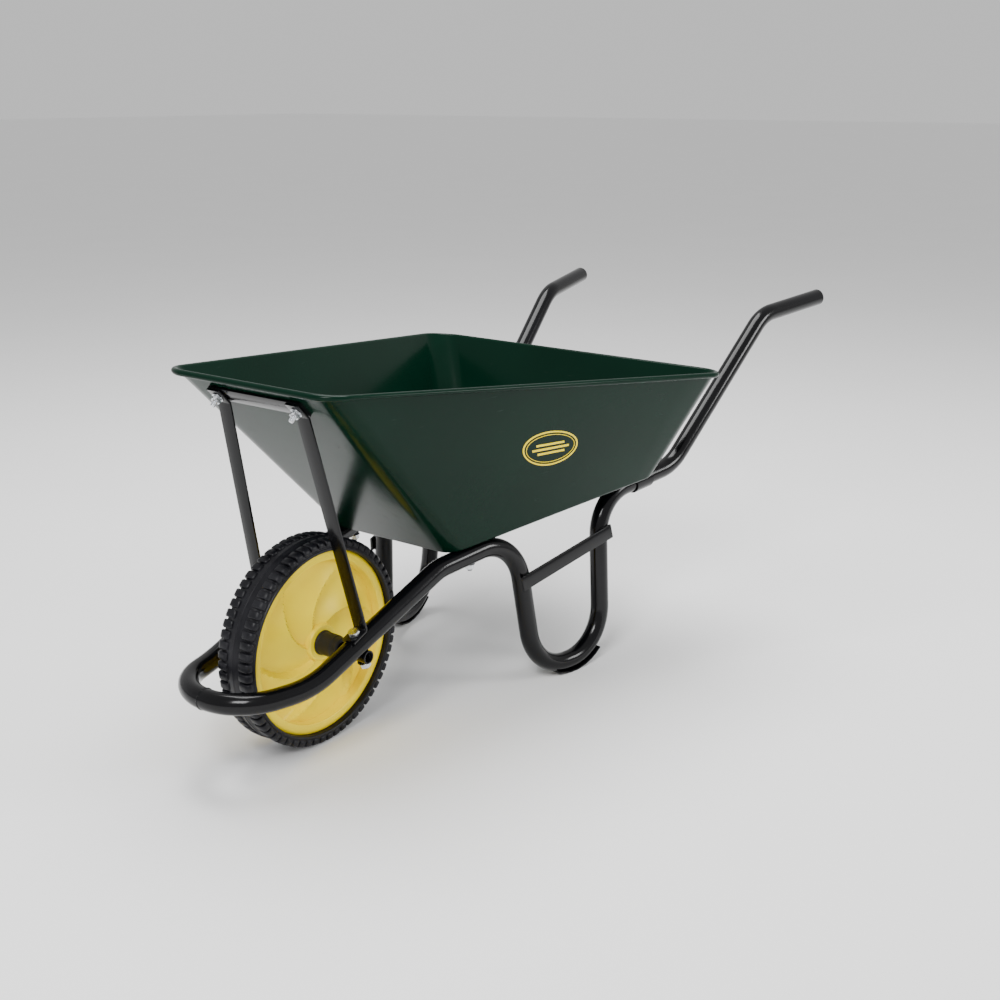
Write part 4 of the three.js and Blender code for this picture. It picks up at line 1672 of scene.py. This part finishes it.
        mesh = mesh_from("disc", skin)
        add_piece("moulded_disc", mesh, Slot.YELLOW, Body.WHEEL, ["wheel_disc"], 40.0)

    def add_bush(self, side: Side) -> None:
        """Makes a bush with its stepped nose.

        Args:
            side: Which end of the hub.
        """
        start = self.hub_width / 2 - self.bush_depth
        bore = self.axle_radius + self.gap
        profile = [
            (bore, start),
            (self.bush_radius, start),
            (self.bush_radius, self.hub_width / 2 + 3.0),
            (self.bush_radius - 1.0, self.hub_width / 2 + 4.2),
            (self.bush_radius - 1.4, self.bush_end - 12.0),
            (self.bush_radius - 2.4, self.bush_end - 11.0),
            (self.bush_radius - 3.0, self.bush_end - 1.4),
            (self.bush_radius - 4.4, self.bush_end),
            (bore + 0.8, self.bush_end),
            (bore, self.bush_end - 0.8),
        ]
        profile = [(r, y * side.value) for r, y in profile]
        mesh = self.lathe("bush_" + side.label, profile, 72)
        add_piece(
            "nose_bush_" + side.label, mesh, Slot.PLASTIC, Body.WHEEL, ["hub_bush_" + side.label]
        )

    def add_axle(self) -> None:
        """Makes the axle tube, open at both ends."""
        half = PLAN.climb_half_width(0) + self.axle_overhang
        inner = self.axle_radius - self.axle_wall
        profile = [
            (inner, -half + 0.4),
            (inner + 0.4, -half),
            (self.axle_radius - 0.4, -half),
            (self.axle_radius, -half + 0.4),
            (self.axle_radius, half - 0.4),
            (self.axle_radius - 0.4, half),
            (inner + 0.4, half),
            (inner, half - 0.4),
        ]
        mesh = self.lathe("axle", profile, 64)
        add_piece("open_axle", mesh, Slot.BLACK, Body.FRAME, ["axle_tube"])


# ---------------------------------------------------------------- fasteners


@dataclass(frozen=True)
class Bolt:
    """Sizes of one kind of bolt, in millimetres."""

    shank: float
    flats: float
    head: float
    nut: float
    tail: float
    pitch: float


@dataclass
class Fasteners:
    """Every bolt with its washer and nut."""

    axle: Bolt = Bolt(5.0, 16.0, 6.5, 8.0, 4.0, 1.5)
    stay: Bolt = Bolt(4.0, 13.0, 4.0, 6.5, 8.0, 1.25)
    tray: Bolt = Bolt(4.0, 13.0, 4.0, 6.5, 4.0, 1.25)
    washer_thickness: float = 1.6
    washer_margin: float = 2.5
    bar: float = 4.0
    sheet: float = 2.0
    rear_x: float = 604.0
    rear_half_width: float = 100.0

    def build(self) -> None:
        """Makes and dresses every stack."""
        plan = PLAN
        tray = Tray()
        tube, gap = plan.tube_radius, plan.gap
        rear = Vector((self.rear_x, self.rear_half_width, plan.seat_height(self.rear_x)))
        front = plan.under_tray(plan.floor_x)
        floor = tube + gap + self.sheet
        stay_face = plan.axle_to_tube + tube + gap + self.bar
        under_stay = 2 * (self.bar + gap)
        stacks = [
            ("axle", self.axle, plan.axle_seat(), plan.climb_up, stay_face, plan.axle_radius),
            ("stay", self.stay, tray.stay_seat(), -tray.wall_out, self.sheet, under_stay),
            ("tray_front", self.tray, front, plan.floor_up, floor, tube),
            ("tray_rear", self.tray, rear, plan.floor_up, floor, tube),
        ]
        for side in Side:
            for kind, size, point, direction, grip, under in stacks:
                self.add_stack(kind, size, (point, direction), (grip, under), side)

    def add_stack(
        self,
        kind: str,
        size: Bolt,
        line: tuple[Vector, Vector],
        faces: tuple[float, float],
        side: Side,
    ) -> None:
        """Makes one bolt, washer and nut.

        Args:
            kind: What the nodes' names start with.
            size: The bolt's sizes.
            line: A point on the bolt's line and the way to its head.
            faces: How far the head's and the washer's faces are above and below the point.
            side: Which side of the barrow.
        """
        point, direction = line
        grip, under = faces
        washer_at = -under - PLAN.gap
        nut_at = washer_at - self.washer_thickness - PLAN.gap
        length = grip + PLAN.gap - nut_at + size.nut + size.tail
        pieces = [
            ("bolt", grip + PLAN.gap, self.bolt(size, length)),
            ("washer", washer_at, self.washer(size)),
            ("nut", nut_at, self.nut(size)),
        ]
        way = PLAN.turn(direction, side)
        for part, height, mesh in pieces:
            mesh.transform(standing(PLAN.place(point + direction * height, side), way))
            node = f"{kind}_{part}_{side.label}"
            add_piece("zinc_" + node, mesh, Slot.ZINC, Body.FRAME, [node], 28.0)

    def hexagon(
        self, work: bmesh.types.BMesh, flats: float, low: float, high: float, bore: float
    ) -> None:
        """Adds a hexagon with its corners turned off.

        Args:
            work: The mesh to add to.
            flats: Size across the flats.
            low: Height of its lower face.
            high: Height of its upper face.
            bore: Radius of its hole, or 0.
        """
        around = 48
        chamfer = flats * 0.035
        rings = []
        for i in range(around):
            angle = 2 * math.pi * i / around
            local = (angle + math.pi / 6) % (math.pi / 3) - math.pi / 6
            reach = flats / 2 / math.cos(local)
            crown = flats / 2 * 0.985
            drop = min(reach - crown, flats * 0.09) * 0.55
            outline = [(bore, low), (crown, low), (reach, low + drop), (reach, high - drop)]
            outline += [(crown, high), (bore, high)]
            if bore:
                outline[0] = (bore + chamfer, low)
                outline[-1] = (bore + chamfer, high)
                outline += [(bore, high - chamfer), (bore, low + chamfer)]
            rings.append(
                [Vector((r * math.cos(angle), r * math.sin(angle), z)) * MM for r, z in outline]
            )
        rings_to_faces(work, rings, True, False)

    def bolt(self, size: Bolt, length: float) -> bpy.types.Mesh:
        """A bolt with its head above Z 0 and its thread below.

        Args:
            size: Its sizes.
            length: Length of the shank.

        Returns:
            The mesh.
        """
        threaded = min(length - 2.0, size.nut + size.tail + 10.0)
        steps = 24
        turns = int(threaded / size.pitch)
        depth = size.pitch * 0.5

        def fill(work: bmesh.types.BMesh) -> None:
            """Fills the mesh."""
            self.hexagon(work, size.flats, 0.0, size.head, 0.0)
            rings = []
            levels = turns * 4
            for i in range(steps):
                angle = 2 * math.pi * i / steps
                column = [(0.0, 0.2), (size.shank, 0.2), (size.shank, -(length - threaded) + 0.6)]
                for k in range(levels):
                    z = -(length - threaded) - size.pitch * (k / 4 + angle / (2 * math.pi))
                    if z < -length + 0.6:
                        z = -length + 0.6
                    crest = (1.0, 0.5, 0.0, 0.5)[k % 4]
                    column.append((size.shank - depth * (1 - crest), z))
                column += [(size.shank - depth * 1.3, -length), (0.0, -length)]
                rings.append(
                    [Vector((r * math.cos(angle), r * math.sin(angle), z)) * MM for r, z in column]
                )
            rings_to_faces(work, rings, True, False)

        return mesh_from("bolt", fill)

    def washer(self, size: Bolt) -> bpy.types.Mesh:
        """A washer whose upper face lies on Z 0."""
        bore = size.shank + 0.5
        outer = size.flats / 2 + self.washer_margin
        low = -self.washer_thickness
        edge = 0.25
        profile = [
            (bore, low),
            (outer - edge, low),
            (outer, low + edge),
            (outer, -edge),
            (outer - edge, 0.0),
            (bore, 0.0),
        ]
        scaled = [(r * MM, z * MM) for r, z in profile]
        return turned("washer", scaled, Matrix.Identity(4), 48)

    def nut(self, size: Bolt) -> bpy.types.Mesh:
        """A nut that hangs below Z 0."""

        def fill(work: bmesh.types.BMesh) -> None:
            """Fills the mesh."""
            self.hexagon(work, size.flats, -size.nut, 0.0, size.shank + 0.1)

        return mesh_from("nut", fill)


# ---------------------------------------------------------------- surroundings


@dataclass(frozen=True)
class Lamp:
    """A soft square light."""

    name: str
    place: tuple[float, float, float]
    size: float
    power: float


@dataclass
class Studio:
    """A pale floor, white surroundings, soft lights and the camera."""

    position: tuple[float, float, float] = (-1.8051, -1.3362, 0.9756)
    yaw: float = 36.34
    pitch: float = -17.49
    lens: float = 46.87
    sensor: float = 36.0
    sky_strength: float = 0.7
    floor_reach: float = 40.0
    lamps: tuple[Lamp, ...] = (
        Lamp("key", (-2.6, -1.0, 2.6), 1.1, 80.0),
        Lamp("fill", (1.6, -3.0, 1.6), 1.0, 50.0),
        Lamp("top", (0.2, 0.4, 3.0), 1.8, 110.0),
    )

    def build(self) -> None:
        """Adds everything that is not the barrow."""
        self.add_floor()
        self.add_sky()
        for lamp in self.lamps:
            self.add_light(lamp)
        self.add_camera()

    def add_floor(self) -> None:
        """Adds the floor."""
        size = self.floor_reach
        mesh = bpy.data.meshes.new("floor")
        corners = [(-size, -size, 0), (size, -size, 0), (size, size, 0), (-size, size, 0)]
        mesh.from_pydata(corners, [], [(0, 1, 2, 3)])
        mesh.materials.append(PaleFloor("studio_floor").material())
        floor = bpy.data.objects.new("floor", mesh)
        bpy.context.scene.collection.objects.link(floor)

    def add_sky(self) -> None:
        """Makes the surroundings an even white."""
        world = bpy.data.worlds.new("studio")
        world.use_nodes = True
        sky = world.node_tree.nodes["Background"]
        sky.inputs["Color"].default_value = (1.0, 1.0, 1.0, 1.0)
        sky.inputs["Strength"].default_value = self.sky_strength
        bpy.context.scene.world = world

    def add_light(self, lamp: Lamp) -> None:
        """Adds a light that faces the barrow.

        Args:
            lamp: Its place, size and power.
        """
        light = bpy.data.lights.new(lamp.name, "AREA")
        light.size = lamp.size
        light.energy = lamp.power
        hung = bpy.data.objects.new(lamp.name, light)
        hung.location = lamp.place
        aim = Vector((0.0, 0.0, 0.3)) - Vector(lamp.place)
        hung.rotation_euler = aim.to_track_quat("-Z", "Y").to_euler()
        bpy.context.scene.collection.objects.link(hung)

    def add_camera(self) -> None:
        """Adds the camera."""
        data = bpy.data.cameras.new("camera")
        data.lens = self.lens
        data.sensor_width = self.sensor
        camera = bpy.data.objects.new("camera", data)
        camera.location = self.position
        yaw, pitch = math.radians(self.yaw), math.radians(self.pitch)
        aim = Vector(
            (math.cos(pitch) * math.cos(yaw), math.cos(pitch) * math.sin(yaw), math.sin(pitch))
        )
        camera.rotation_euler = aim.to_track_quat("-Z", "Y").to_euler()
        bpy.context.scene.collection.objects.link(camera)
        bpy.context.scene.camera = camera


def main() -> None:
    """Builds every sub-assembly in order."""
    logging.basicConfig(level=logging.INFO, format="%(message)s")
    for assembly in (TubeFrame(), FlatBars(), Tray(), Wheel(), Fasteners()):
        assembly.build()
    Studio().build()


if __name__ == "__main__":
    main()
